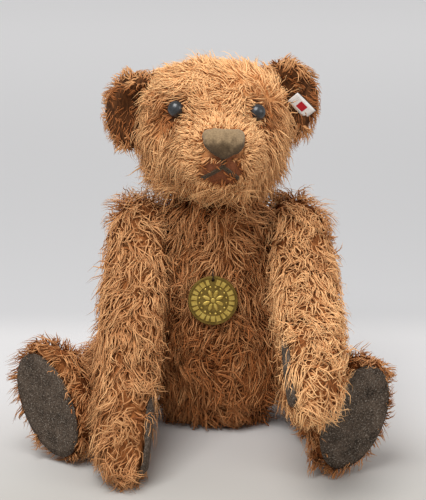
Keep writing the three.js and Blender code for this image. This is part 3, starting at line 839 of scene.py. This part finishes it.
def far_from(points, at, stretch=1):
    return np.linalg.norm((points - np.array(at)) / np.array(stretch), axis=1)


def smooth_step(value, low, high):
    share = np.clip((value - low) / (high - low), 0, 1)
    return share * share * (3 - 2 * share)


NOSE_AT = (74, 0, -4)


def worn_bare(at):
    """How far the pile round the mouth has worn away, from 0 to 1."""
    return 1 - smooth_step(far_from(at, MOUTH_AT, (1, 1.25, 1)), 10, 17)


def head_comb(roots, normals, rng):
    look = even_look(roots, rng, length=20, lift=0.2, sag=0.16, curl=3.0,
                     radius=0.5, tint=0.7, round_r=60)
    at = in_face(roots)
    front = smooth_step(at[:, 0], -10, 30)
    from_nose = far_from(at, NOSE_AT)
    muzzle = 1 - smooth_step(from_nose, 30, 58)
    brow = smooth_step(at[:, 2], 16, 34) * (1 - muzzle)
    radial = at - np.array(NOSE_AT)
    back = np.tile([-1.0, 0, 0], (len(at), 1))
    outward = np.tile([-0.5, -0.9, 0.15], (len(at), 1))
    hang = np.stack([np.full(len(at), -0.25), np.sign(at[:, 1]) * 0.35, np.full(len(at), -1.0)], axis=1)
    lie = muzzle[:, None] * unit(radial) + brow[:, None] * outward
    lie += (1 - np.clip(muzzle + brow, 0, 1))[:, None] * hang
    lie += 0.2 * back
    look["along"] = lie @ FACE_TURN.T + 0.32 * swirl_wide(roots) + 0.38 * swirl_fine(roots)
    short = smooth_step(from_nose, 18, 50)
    look["length"] *= 0.26 + 0.74 * short
    look["length"] *= 1 - 0.1 * brow
    # The brow and the top of the muzzle are painted paler: painted light from above, together with pile
    # bleached paler on top.
    look["tint"] += 0.34 * np.clip(brow + 0.8 * muzzle * smooth_step(at[:, 2], -8, 6), 0, 1)
    crown = smooth_step(at[:, 2], 40, 56)
    look["lift"] = np.clip(look["lift"] - 0.05 * brow + 0.12 * crown, 0.06, 0.9)
    tuft = rng.random(len(at)) < 0.05 * crown
    look["lift"] = np.where(tuft, 0.65, look["lift"])
    look["length"] *= np.where(tuft, 1.25, 1)
    look["curl"] *= 0.25 + 0.75 * short
    look["radius"] *= 0.72 + 0.28 * short
    chin = smooth_step(-at[:, 2], 26, 44) * front
    # The chin is painted paler: painted light on the underside of the head, where shade falls.
    look["tint"] += 0.15 * chin
    look["length"] *= 1 + 0.15 * chin + 0.5 * smooth_step(-at[:, 2], 18, 40)
    eye = np.minimum(*(far_from(at[:, 1:], eyes_at[side][1:]) for side in ("right", "left")))
    eye = np.where(at[:, 0] > 20, eye, 99)
    look["length"] *= 0.4 + 0.6 * smooth_step(eye, 6, 18)
    # The pile round the eyes is painted darker: painted shade in the eye sockets.
    look["tint"] -= 0.72 * (1 - smooth_step(eye, 8, 19))
    bare = worn_bare(at)
    nose = (np.abs(at[:, 1]) < 14) & (at[:, 2] > -13) & (at[:, 2] < 6) & (at[:, 0] > 50)
    look["keep"] = (1 - 0.97 * bare) * np.where(nose, 0, 1) * np.where(eye < 5.6, 0, 1)
    look["keep"] *= 1 - WORN_THIN * pressed(roots, ["neck"], NECK_PRESSED_R)
    return look


def muzzle_comb(roots, normals, rng):
    look = even_look(roots, rng, length=5.5, lift=0.42, sag=0.1, curl=1.6,
                     radius=0.5, tint=0.74, round_r=60)
    at = in_face(roots)
    wear_and_top_light = head_comb(roots, normals, rng)
    look["along"] = wear_and_top_light["along"]
    # The top of the muzzle is painted paler: painted light from above.
    look["tint"] += 0.2 * smooth_step(at[:, 2], -8, 6)
    near = (1 - smooth_step(far_from(at, NOSE_AT), 34, 56)) * (at[:, 0] > 20)
    stubble = worn_bare(at) * (np.abs(at[:, 2] + 21) < 11)
    look["keep"] = np.maximum(wear_and_top_light["keep"] * near, 0.1 * stubble)
    look["length"] *= 1 - 0.4 * stubble
    look["tint"] -= 0.75 * stubble
    return look


def ear_comb(side):
    sign = {"right": -1, "left": 1}[side]
    middle = in_face(points_of(f"{side}_ear")).mean(axis=0)

    def comb(roots, normals, rng):
        look = even_look(roots, rng, length=11, lift=0.28, sag=0.2, curl=2.8,
                         radius=0.5, tint=0.52, round_r=22)
        off = in_face(roots) - middle
        turned_front = (normals @ FACE_TURN)[:, 0]
        from_middle = np.hypot(off[:, 1], off[:, 2])
        inside = smooth_step(turned_front, 0.25, 0.6) * (1 - smooth_step(from_middle, 17, 22))
        rim = smooth_step(from_middle, 18, 24)
        outward = np.stack([0.1 * off[:, 0], off[:, 1] + sign * 6, off[:, 2] - 8], axis=1)
        look["along"] = unit(outward) @ FACE_TURN.T + 0.5 * swirl_fine(roots)
        look["length"] *= 1 - 0.15 * inside + 0.15 * rim
        look["radius"] *= 1 - 0.4 * inside
        # The inside of each ear's cup is painted darker: dirt, with painted shade in the cup.
        look["tint"] -= 0.6 * inside
        look["keep"] = 1 - 0.55 * inside
        return look

    return comb


# %% Grow the pile
ground["muzzle"] = ground["head"]
BODY_OF["muzzle"] = "head"
PILE = [
    ("body", 11800, 11, body_comb, ["head", "right_arm", "left_arm", "right_leg", "left_leg"]),
    ("head", 8700, 12, head_comb, ["body", "right_arm", "left_arm", "right_ear", "left_ear"]),
    ("muzzle", 26000, 19, muzzle_comb, ["right_ear", "left_ear"]),
    ("right_ear", 1350, 13, ear_comb("right"), ["head"]),
    ("left_ear", 1350, 14, ear_comb("left"), ["head"]),
    ("right_arm", 5000, 15, limb_comb("right_shoulder"), ["body", "head", "right_leg"]),
    ("left_arm", 5000, 16, limb_comb("left_shoulder"), ["body", "head", "left_leg"]),
    ("right_leg", 4500, 17, limb_comb("right_hip"), ["body", "right_arm"]),
    ("left_leg", 4500, 18, limb_comb("left_hip"), ["body", "left_arm"]),
]
lock_finish = Finish("mohair_locks", 0.62, Specular_IOR_Level=0.25)
lock_uv = lock_finish.add("ShaderNodeUVMap", {"uv_map": "OFBake"}, {})
lock_tint = lock_finish.part(lock_uv, "X")
lock_up = lock_finish.part(lock_uv, "Y")
# Each lock is painted darker towards its root: painted shade from the locks around it. The tips stay light.
tip_tone = lock_finish.blend(lock_tint, tone(172, 105, 55), tone(252, 200, 141))
root_shade_tone = lock_finish.blend(lock_tint, tone(122, 67, 31), tone(226, 157, 96))
lock_finish.feed("Base Color", lock_finish.blend(lock_finish.ramp(lock_up, 0.0, 0.55), root_shade_tone, tip_tone))

for node, count, seed, comb, others in PILE:
    pile = grow_pile(f"{node}_pile", node, count, seed, comb, others, PADS.get(node, ()))
    pile.data.materials.append(lock_finish.material)
    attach(pile, BODY_OF[node])
    print(pile.name, len(pile.data.polygons), "triangles")

# %% [markdown]
# ## Felt paws and soles
# Palms and soles are ovals of thick wool felt, sewn in flat. An oval is drawn as a disc of rings, laid on
# the cloth along a ray to each point, and thickened. Felt is fibres pressed every way, so its finish is
# fine specks of grey, brown and black with a few pale fibres.

# %% Felt pads
FELT_T, FELT_GAP = 1.6 * MM, 0.3 * MM
RAY_FROM, RAY_REACH = 12 * MM, 30 * MM
FELT_RINGS = 6


def felt_pad(name, node, carrier):
    tree = solid_tree(carrier)
    middle, long, short, out, half = oval_frame(node, tree)
    bm = bmesh.new()
    bmesh.ops.create_circle(bm, cap_ends=True, segments=56, radius=1)
    inner = bm.faces[:]
    for _ in range(FELT_RINGS):
        bmesh.ops.inset_region(bm, faces=inner, thickness=0.85 / FELT_RINGS, use_boundary=True)
    bmesh.ops.poke(bm, faces=inner)
    rim = {v: v.co.length for v in bm.verts}
    for vertex in bm.verts:
        spot = middle + long * (vertex.co.x * half[0]) + short * (vertex.co.y * half[1])
        hit = tree.ray_cast(spot + out * RAY_FROM, -out, RAY_REACH)[0]
        vertex.co = (hit or spot) + out * FELT_GAP
    made = bmesh.ops.extrude_face_region(bm, geom=bm.faces[:], use_keep_orig=True)["geom"]
    share = {tuple(v.co): rim[v] for v in rim if v.is_valid}
    for vertex in new_verts(made):
        edge = share[tuple(vertex.co)]
        vertex.co += out * FELT_T * (1.05 - 0.45 * edge ** 8)
    bmesh.ops.recalc_face_normals(bm, faces=bm.faces)
    pad = finished(name, bm)
    shade_smooth(pad)
    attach(pad, BODY_OF[carrier])
    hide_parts(node)
    width, length = 2 * half[1], 2 * half[0]
    math.pi / 4 * width * length
    pad.data.materials.append(felt_finish.material)
    print(pad.name, "cut", round(width / MM), "by", round(length / MM), "mm")


felt_finish = Finish("wool_felt", 0.95, Specular_IOR_Level=0.08)
fine = felt_finish.noise(800, 3, 0.75)
broad = felt_finish.noise(90, 4)
fleck = felt_finish.ramp(felt_finish.noise(1000, 2), 0.56, 0.68)
speckle = felt_finish.ramp(fine * 0.75 + broad * 0.4, 0.35, 0.8)
felt_base = felt_finish.blend(speckle, tone(34, 29, 25), tone(106, 92, 80))
felt_finish.feed("Base Color", felt_finish.blend(fleck * 0.6, felt_base, tone(160, 150, 138)))
felt_finish.bump(fine + fleck * 0.5, 0.7, 0.5 * MM)

for side in ("right", "left"):
    felt_pad(f"{side}_palm", f"{side}_palm_felt", f"{side}_arm")
    felt_pad(f"{side}_sole", f"{side}_sole_felt", f"{side}_leg")

# %% [markdown]
# ## Nose and mouth
# The nose was stitched solid in wool and has felted with handling, so no single stitch is left: a soft pad,
# paler along the top, partly where it has rubbed and partly as painted light from above. The mouth is the
# same wool, a few long stitches in an upturned Y.

# %% Nose
NOSE_VOXEL = 1.3 * MM
NOSE_FULLER = 0.75
NOSE_SWELL, NOSE_LUMPS = 0.55 * MM, 0.4 * MM
nose = even_skin("nose_wool", "nose", NOSE_VOXEL)
felted = Swirl(21, 5 * MM)
bm = bmesh.new()
bm.from_mesh(nose.data)
at = in_face(np.array([v.co for v in bm.verts]))
levels = np.linspace(at[:, 2].min(), at[:, 2].max(), 24)
widths = np.array([np.abs(at[np.abs(at[:, 2] - level) < 1.2, 1]).max() for level in levels])
wanted = widths.max() * np.sqrt(smooth_step(levels, levels[0] - 1, levels[0] + 9))
stretch = 1 + NOSE_FULLER * (np.maximum(wanted / widths, 1) - 1)
for vertex, (x, y, z) in zip(bm.verts, at):
    vertex.co = from_face(x, y * np.interp(z, levels, stretch), z)
    vertex.co += vertex.normal * (NOSE_SWELL + NOSE_LUMPS * felted(np.array([vertex.co]))[0][0])
relax(bm, 4)
bm.to_mesh(nose.data)
bm.free()
shade_smooth(nose)
round_off = nose.modifiers.new("round", "SUBSURF")
round_off.levels = round_off.render_levels = 1
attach(nose, "head")
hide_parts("nose")

wool_finish = Finish("felted_wool", 0.9, Specular_IOR_Level=0.15, Sheen_Weight=0.2)
fibres = wool_finish.noise(900, 4, 0.7)
height = wool_finish.part(wool_finish.place(), "Z")
low, high = (c.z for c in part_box("nose"))
# The wool is paler towards the top: rubbed wool, with painted light from above.
wear_and_top_light = wool_finish.ramp(height + wool_finish.noise(170, 4, 0.65) * (22 * MM), low + 17 * MM, high + 9 * MM)
wool_dark = wool_finish.blend(fibres, tone(32, 24, 15), tone(90, 70, 46))
wool_pale = wool_finish.blend(fibres, tone(86, 69, 47), tone(178, 150, 114))
wool_finish.feed("Base Color", wool_finish.blend(wear_and_top_light, wool_dark, wool_pale))
wool_finish.bump(fibres, 0.6, 0.7 * MM)
nose.data.materials.append(wool_finish.material)
print("nose:", len(nose.data.polygons), "faces")

# %% Mouth
YARN_R = 0.8 * MM
YARN_PROUD = 0.5 * MM
YARN_SIDES = 8
STRAND_APART = 0.75


def on_muzzle(y, z):
    """The point of the muzzle straight behind a place in the face, lifted off the cloth."""
    inward = Vector(FACE_TURN @ np.array([-1.0, 0, 0]))
    hit, normal, _, _ = TREES["head"].ray_cast(from_face(130, y, z), inward)
    return hit + normal * YARN_PROUD


def yarn(bm, points, radius):
    """A closed round cord through a row of points, from rings bridged one to the next."""
    last = None
    for index, point in enumerate(points):
        ahead_of = points[min(index + 1, len(points) - 1)]
        heading = ahead_of - points[max(index - 1, 0)]
        end = index in (0, len(points) - 1)
        size = radius * (0.6 if end else 1)
        ring = bmesh.ops.create_circle(bm, cap_ends=end, segments=YARN_SIDES, radius=size,
                                       matrix=Matrix.Translation(point) @ facing(heading))["verts"]
        if last:
            both = set(ring) | set(last)
            edges = {e for v in both for e in v.link_edges if all(w in both for w in e.verts)}
            bmesh.ops.bridge_loops(bm, edges=list(edges))
        last = ring


STITCHES = [((0, -13), (0, -20)), ((0, -19.5), (-14, -29.5)), ((0, -19.5), (14, -29.5))]
mouth_bm = bmesh.new()
for (y0, z0), (y1, z1) in STITCHES:
    upright = y0 == y1
    for strand in (-STRAND_APART, STRAND_APART):
        aside, above = (strand, 0) if upright else (0, strand)
        steps = [k / 8 for k in range(9)]
        points = [on_muzzle(y0 + (y1 - y0) * s + aside, z0 + (z1 - z0) * s + above) for s in steps]
        yarn(mouth_bm, points, YARN_R)
bmesh.ops.recalc_face_normals(mouth_bm, faces=mouth_bm.faces)
mouth = finished("mouth_wool", mouth_bm)
shade_smooth(mouth)
mouth.data.materials.append(wool_finish.material)
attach(mouth, "head")
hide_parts("mouth_stitch")
print("mouth:", len(STITCHES), "double stitches")

# %% [markdown]
# ## Eyes
# Black boot-button eyes, dulled by age: a low dome with a soft grey sheen. A ball is flattened below and
# put at the socket, which is found from the frame's own eye.

# %% Eyes
EYE_R = 6 * MM
EYE_DOME = 5.3 * MM
EYE_BACK = 0.35
eye_finish = Finish("dull_black_button", 0.34, Specular_IOR_Level=0.55, Coat_Weight=0.25,
                    Coat_Roughness=0.3)
scuffs = eye_finish.noise(320, 5, 0.65)
eye_tone = eye_finish.blend(eye_finish.ramp(scuffs, 0.4, 0.75), tone(20, 22, 25), tone(46, 50, 56))
eye_finish.feed("Base Color", eye_tone)
eye_finish.feed("Roughness", scuffs * 0.25 + 0.16)
for side, sign in (("right", -1), ("left", 1)):
    outward = Vector(FACE_TURN @ unit(np.array([0.9, sign * 0.32, 0.1])))
    tip = max(points_of(f"{side}_eye") @ np.array(outward))
    middle = Vector(points_of(f"{side}_eye").mean(axis=0))
    socket = middle + outward * (tip - EYE_DOME - middle.dot(outward))
    bm = bmesh.new()
    bmesh.ops.create_uvsphere(bm, u_segments=32, v_segments=20, radius=EYE_R)
    for vertex in bm.verts:
        vertex.co.z *= EYE_DOME / EYE_R if vertex.co.z > 0 else EYE_BACK
    bmesh.ops.transform(bm, matrix=Matrix.Translation(socket) @ facing(outward), verts=bm.verts)
    eye = finished(f"{side}_button_eye", bm)
    shade_smooth(eye)
    eye.data.materials.append(eye_finish.material)
    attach(eye, "head")
    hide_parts(f"{side}_eye")
    print(eye.name, "at", [round(x / MM) for x in socket])

# %% [markdown]
# ## Medal
# A stamped brass medal hangs on a loop of thread. Stamping leaves a rim, a sunk field and raised shapes,
# and polishing wipes the tarnish off the high parts only. The design is a plain rosette inside a ring of
# blocks. Its sizes are in millimetres.

# %% Medal
MEDAL_R, MEDAL_RIM, MEDAL_T, FIELD_T = 18.5, 1.6, 2.0, 1.5
HOLE_AT, HOLE_R = 15.4, 1.3
medal_points = points_of("medal")
medal_middle = (medal_points.max(axis=0) + medal_points.min(axis=0)) / 2
medal_out = Vector(np.linalg.svd(medal_points - medal_points.mean(axis=0), full_matrices=False)[2][2])
medal_out *= -1 if medal_out.y > 0 else 1
medal_right = Vector((1, 0, 0))
medal_up = medal_out.cross(medal_right).normalized()
medal_frame = Matrix((medal_right, medal_up, medal_out)).transposed().to_4x4()
medal_frame.translation = Vector(medal_middle) - medal_out * (MEDAL_T / 2 * MM)
medal_frame = medal_frame @ Matrix.Scale(MM, 4)



def spun(bm, steps, join):
    """Turns a mesh's drawn line round z into a closed skin."""
    bmesh.ops.spin(bm, geom=bm.verts[:] + bm.edges[:], cent=(0, 0, 0), axis=(0, 0, 1),
                   angle=2 * math.pi, steps=steps, use_merge=True)
    bmesh.ops.remove_doubles(bm, verts=bm.verts, dist=join)
    bmesh.ops.recalc_face_normals(bm, faces=bm.faces)


bm = bmesh.new()
profile = [(0, 0), (MEDAL_R - 0.3, 0), (MEDAL_R, 0.3), (MEDAL_R, MEDAL_T - 0.3), (MEDAL_R - 0.3, MEDAL_T),
           (MEDAL_R - MEDAL_RIM + 0.2, MEDAL_T), (MEDAL_R - MEDAL_RIM, FIELD_T), (0, FIELD_T)]
row = [bm.verts.new((r, 0, z)) for r, z in profile]
for pair in zip(row, row[1:]):
    bm.edges.new(pair)
spun(bm, 72, 1e-4)
medal = finished("brass_medal", bm)

bm = bmesh.new()
bmesh.ops.create_cone(bm, cap_ends=True, segments=24, radius1=HOLE_R, radius2=HOLE_R, depth=8,
                      matrix=Matrix.Translation((0, HOLE_AT, 1)))
punch = finished("punch", bm)
cut = medal.modifiers.new("hole", "BOOLEAN")
cut.operation = "DIFFERENCE"
cut.object = punch
settle(medal)
bpy.data.objects.remove(punch)

BLOCKS = 22
BLOCK_AT, BLOCK_UP = 14.0, 0.1
DOME_UP = -0.1
# Rings of domes: how many, how far from the middle, segments round and up, and half sizes.
DOMES = [
    (8, 5.4, (12, 8), (1.5, 3.1, 0.6)),
    (16, 10.2, (10, 6), (1.0, 0.8, 0.5)),
    (1, 0, (16, 8), (1.9, 1.9, 0.6)),
]
bm = bmesh.new()
bm.from_mesh(medal.data)
for polygon in bm.faces:
    polygon.material_index = 0


def stamped(angle, radius, above, size):
    """The place and size of one raised shape on the field."""
    place = Matrix.Rotation(angle, 4, "Z") @ Matrix.Translation((0, radius, FIELD_T + above))
    return place @ Matrix.Diagonal((*size, 1))


def raised(made):
    for vertex in made["verts"]:
        for polygon in vertex.link_faces:
            polygon.material_index = 1


for index in range(1, BLOCKS):
    size = (3.1 if index % 3 else 2.3, 4.2, 0.7)
    place = stamped(-2 * math.pi * index / BLOCKS, BLOCK_AT, BLOCK_UP, size)
    raised(bmesh.ops.create_cube(bm, size=1, matrix=place))
for count, radius, (around, up), size in DOMES:
    for index in range(count):
        place = stamped(2 * math.pi * (index + 0.5) / count, radius, DOME_UP, size)
        raised(bmesh.ops.create_uvsphere(bm, u_segments=around, v_segments=up, radius=1, matrix=place))
bmesh.ops.transform(bm, matrix=medal_frame, verts=bm.verts)
bm.to_mesh(medal.data)
bm.free()


def brass(name, dull, bright, roughness):
    finish = Finish(name, roughness, Metallic=0.75)
    tarnish = finish.ramp(finish.noise(260, 5, 0.65), 0.3, 0.7)
    finish.feed("Base Color", finish.blend(tarnish, dull, bright))
    finish.feed("Roughness", finish.noise(700, 3) * 0.3 + roughness)
    finish.bump(finish.noise(1400, 3), 0.25, 0.15 * MM)
    return finish


medal.data.materials.append(brass("tarnished_field", tone(104, 84, 34), tone(140, 116, 54), 0.4).material)
medal.data.materials.append(brass("rubbed_brass", tone(178, 148, 66), tone(212, 186, 98), 0.28).material)
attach(medal, "torso")
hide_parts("medal")
print("medal:", len(medal.data.polygons), "faces")

# %% Thread loop
LOOP_R, THREAD_R = 4.2 * MM, 0.45 * MM
low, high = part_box("medal_thread")
bm = bmesh.new()
across = Matrix.Translation((LOOP_R, 0, 0)) @ Matrix.Rotation(math.pi / 2, 4, "X")
bmesh.ops.create_circle(bm, segments=10, radius=THREAD_R, matrix=across)
spun(bm, 36, 1e-7)
hung = Matrix.Translation((low + high) / 2) @ Matrix.Rotation(math.pi / 2, 4, "Y")
bmesh.ops.transform(bm, matrix=hung, verts=bm.verts)
loop = finished("medal_loop", bm)
shade_smooth(loop)
thread_finish = Finish("black_thread", 0.8)
ply = thread_finish.add("ShaderNodeTexWave", {"bands_direction": "DIAGONAL"},
                        {"Vector": thread_finish.place(), "Scale": 500.0, "Distortion": 1.0}, "Fac")
thread_finish.feed("Base Color", thread_finish.blend(ply, tone(20, 17, 14), tone(58, 50, 42)))
thread_finish.bump(ply, 0.6, 0.2 * MM)
loop.data.materials.append(thread_finish.material)
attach(loop, "torso")
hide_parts("medal_thread")

# %% [markdown]
# ## Ear tab
# A short length of white woven tape, folded once, is caught in the ear's seam. It is drawn as one edge that
# is extruded along the fold, then given its thickness. A plain red band is woven into it.

# %% Tape
TAPE_W, TAPE_L = 10.0, 19.0
TAPE_T = 0.35 * MM
tab_frame = face @ Matrix.Translation(Vector((5, 63.5, 19.5)) * MM)
for degrees, about in ((48, "X"), (10, "Y"), (-20, "Z")):
    tab_frame = tab_frame @ Matrix.Rotation(math.radians(degrees), 4, about)
fold = [(-0.55 - 0.5 * math.sin(math.pi * k / 10), TAPE_L * (k / 10 - 0.5)) for k in range(11)]
fold += [(0.55 * math.sin(a), TAPE_L / 2 + 0.4 * math.cos(a)) for a in (-0.7, 0, 0.7)]
fold += [(0.55 + 0.3 * math.sin(math.pi * k / 10), TAPE_L * (0.5 - k / 10)) for k in range(11)]
bm = bmesh.new()
edge_verts = [bm.verts.new((fold[0][0], TAPE_W * (k / 6 - 0.5), fold[0][1])) for k in range(7)]
edge = [bm.edges.new(pair) for pair in zip(edge_verts, edge_verts[1:])]
for (x0, z0), (x1, z1) in zip(fold, fold[1:]):
    made = bmesh.ops.extrude_edge_only(bm, edges=edge)["geom"]
    edge = [g for g in made if isinstance(g, bmesh.types.BMEdge)]
    bmesh.ops.translate(bm, verts=new_verts(made), vec=(x1 - x0, 0, z1 - z0))
tape_uv = bm.loops.layers.uv.new("tape")
for polygon in bm.faces:
    polygon.smooth = True
    for corner in polygon.loops:
        corner[tape_uv].uv = (corner.vert.co.z / TAPE_L + 0.5, corner.vert.co.y / TAPE_W + 0.5)
bmesh.ops.transform(bm, matrix=tab_frame @ Matrix.Scale(MM, 4), verts=bm.verts)
tape = finished("ear_tape", bm)
thicken = tape.modifiers.new("thickness", "SOLIDIFY")
thicken.thickness = TAPE_T
thicken.offset = 0
tape_finish = Finish("woven_tape", 0.85, Specular_IOR_Level=0.2)
tape_at = tape_finish.add("ShaderNodeUVMap", {"uv_map": "tape"}, {})
tape_run = tape_finish.part(tape_at, "X")
tape_side = tape_finish.part(tape_at, "Y")
threads = tape_finish.add("ShaderNodeTexWave", {"bands_direction": "X"},
                          {"Vector": tape_at, "Scale": 11.0, "Distortion": 0.6}, "Fac")
band = tape_finish.ramp(tape_run, 0.30, 0.33) * (1 - tape_finish.ramp(tape_run, 0.66, 0.69))
band = band * tape_finish.ramp(tape_side, 0.2, 0.23) * (1 - tape_finish.ramp(tape_side, 0.77, 0.8))
white = tape_finish.blend(threads, tone(206, 202, 196), tone(240, 238, 234))
tape_finish.feed("Base Color", tape_finish.blend(band, white, tone(176, 34, 42)))
tape_finish.bump(threads, 0.3, 0.2 * MM)
tape.data.materials.append(tape_finish.material)
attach(tape, "head")
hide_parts("ear_tab")
print("tape:", len(tape.data.polygons), "faces")

# %% [markdown]
# ## Inside the joints
# The discs are pressed fibre board and the washers and split pins are steel. They are the frame's own nodes
# and keep their shape. They only get their finishes.

# %% Joint finishes
board = Finish("pressed_board", 0.85, Specular_IOR_Level=0.2)
pulp = board.noise(420, 5, 0.7)
board.feed("Base Color", board.blend(pulp, tone(96, 74, 52), tone(150, 122, 90)))
board.bump(pulp, 0.4, 0.3 * MM)
steel = Finish("old_steel", 0.4, Metallic=0.9)
rust = steel.ramp(steel.noise(260, 5, 0.65), 0.5, 0.75)
steel.feed("Base Color", steel.blend(rust, tone(138, 136, 132), tone(104, 66, 40)))
steel.feed("Roughness", rust * 0.4 + 0.35)
finish_of = {"_disc": board, "_washer": steel, "_split_pin": steel}
inner_nodes = [(node, ending) for node in frame["nodes"] for ending in finish_of if node.endswith(ending)]
for node, ending in inner_nodes:
    materials = frame["nodes"][node].data.materials
    materials.clear()
    materials.append(finish_of[ending].material)
print("joints: finishes on", len(inner_nodes), "nodes")
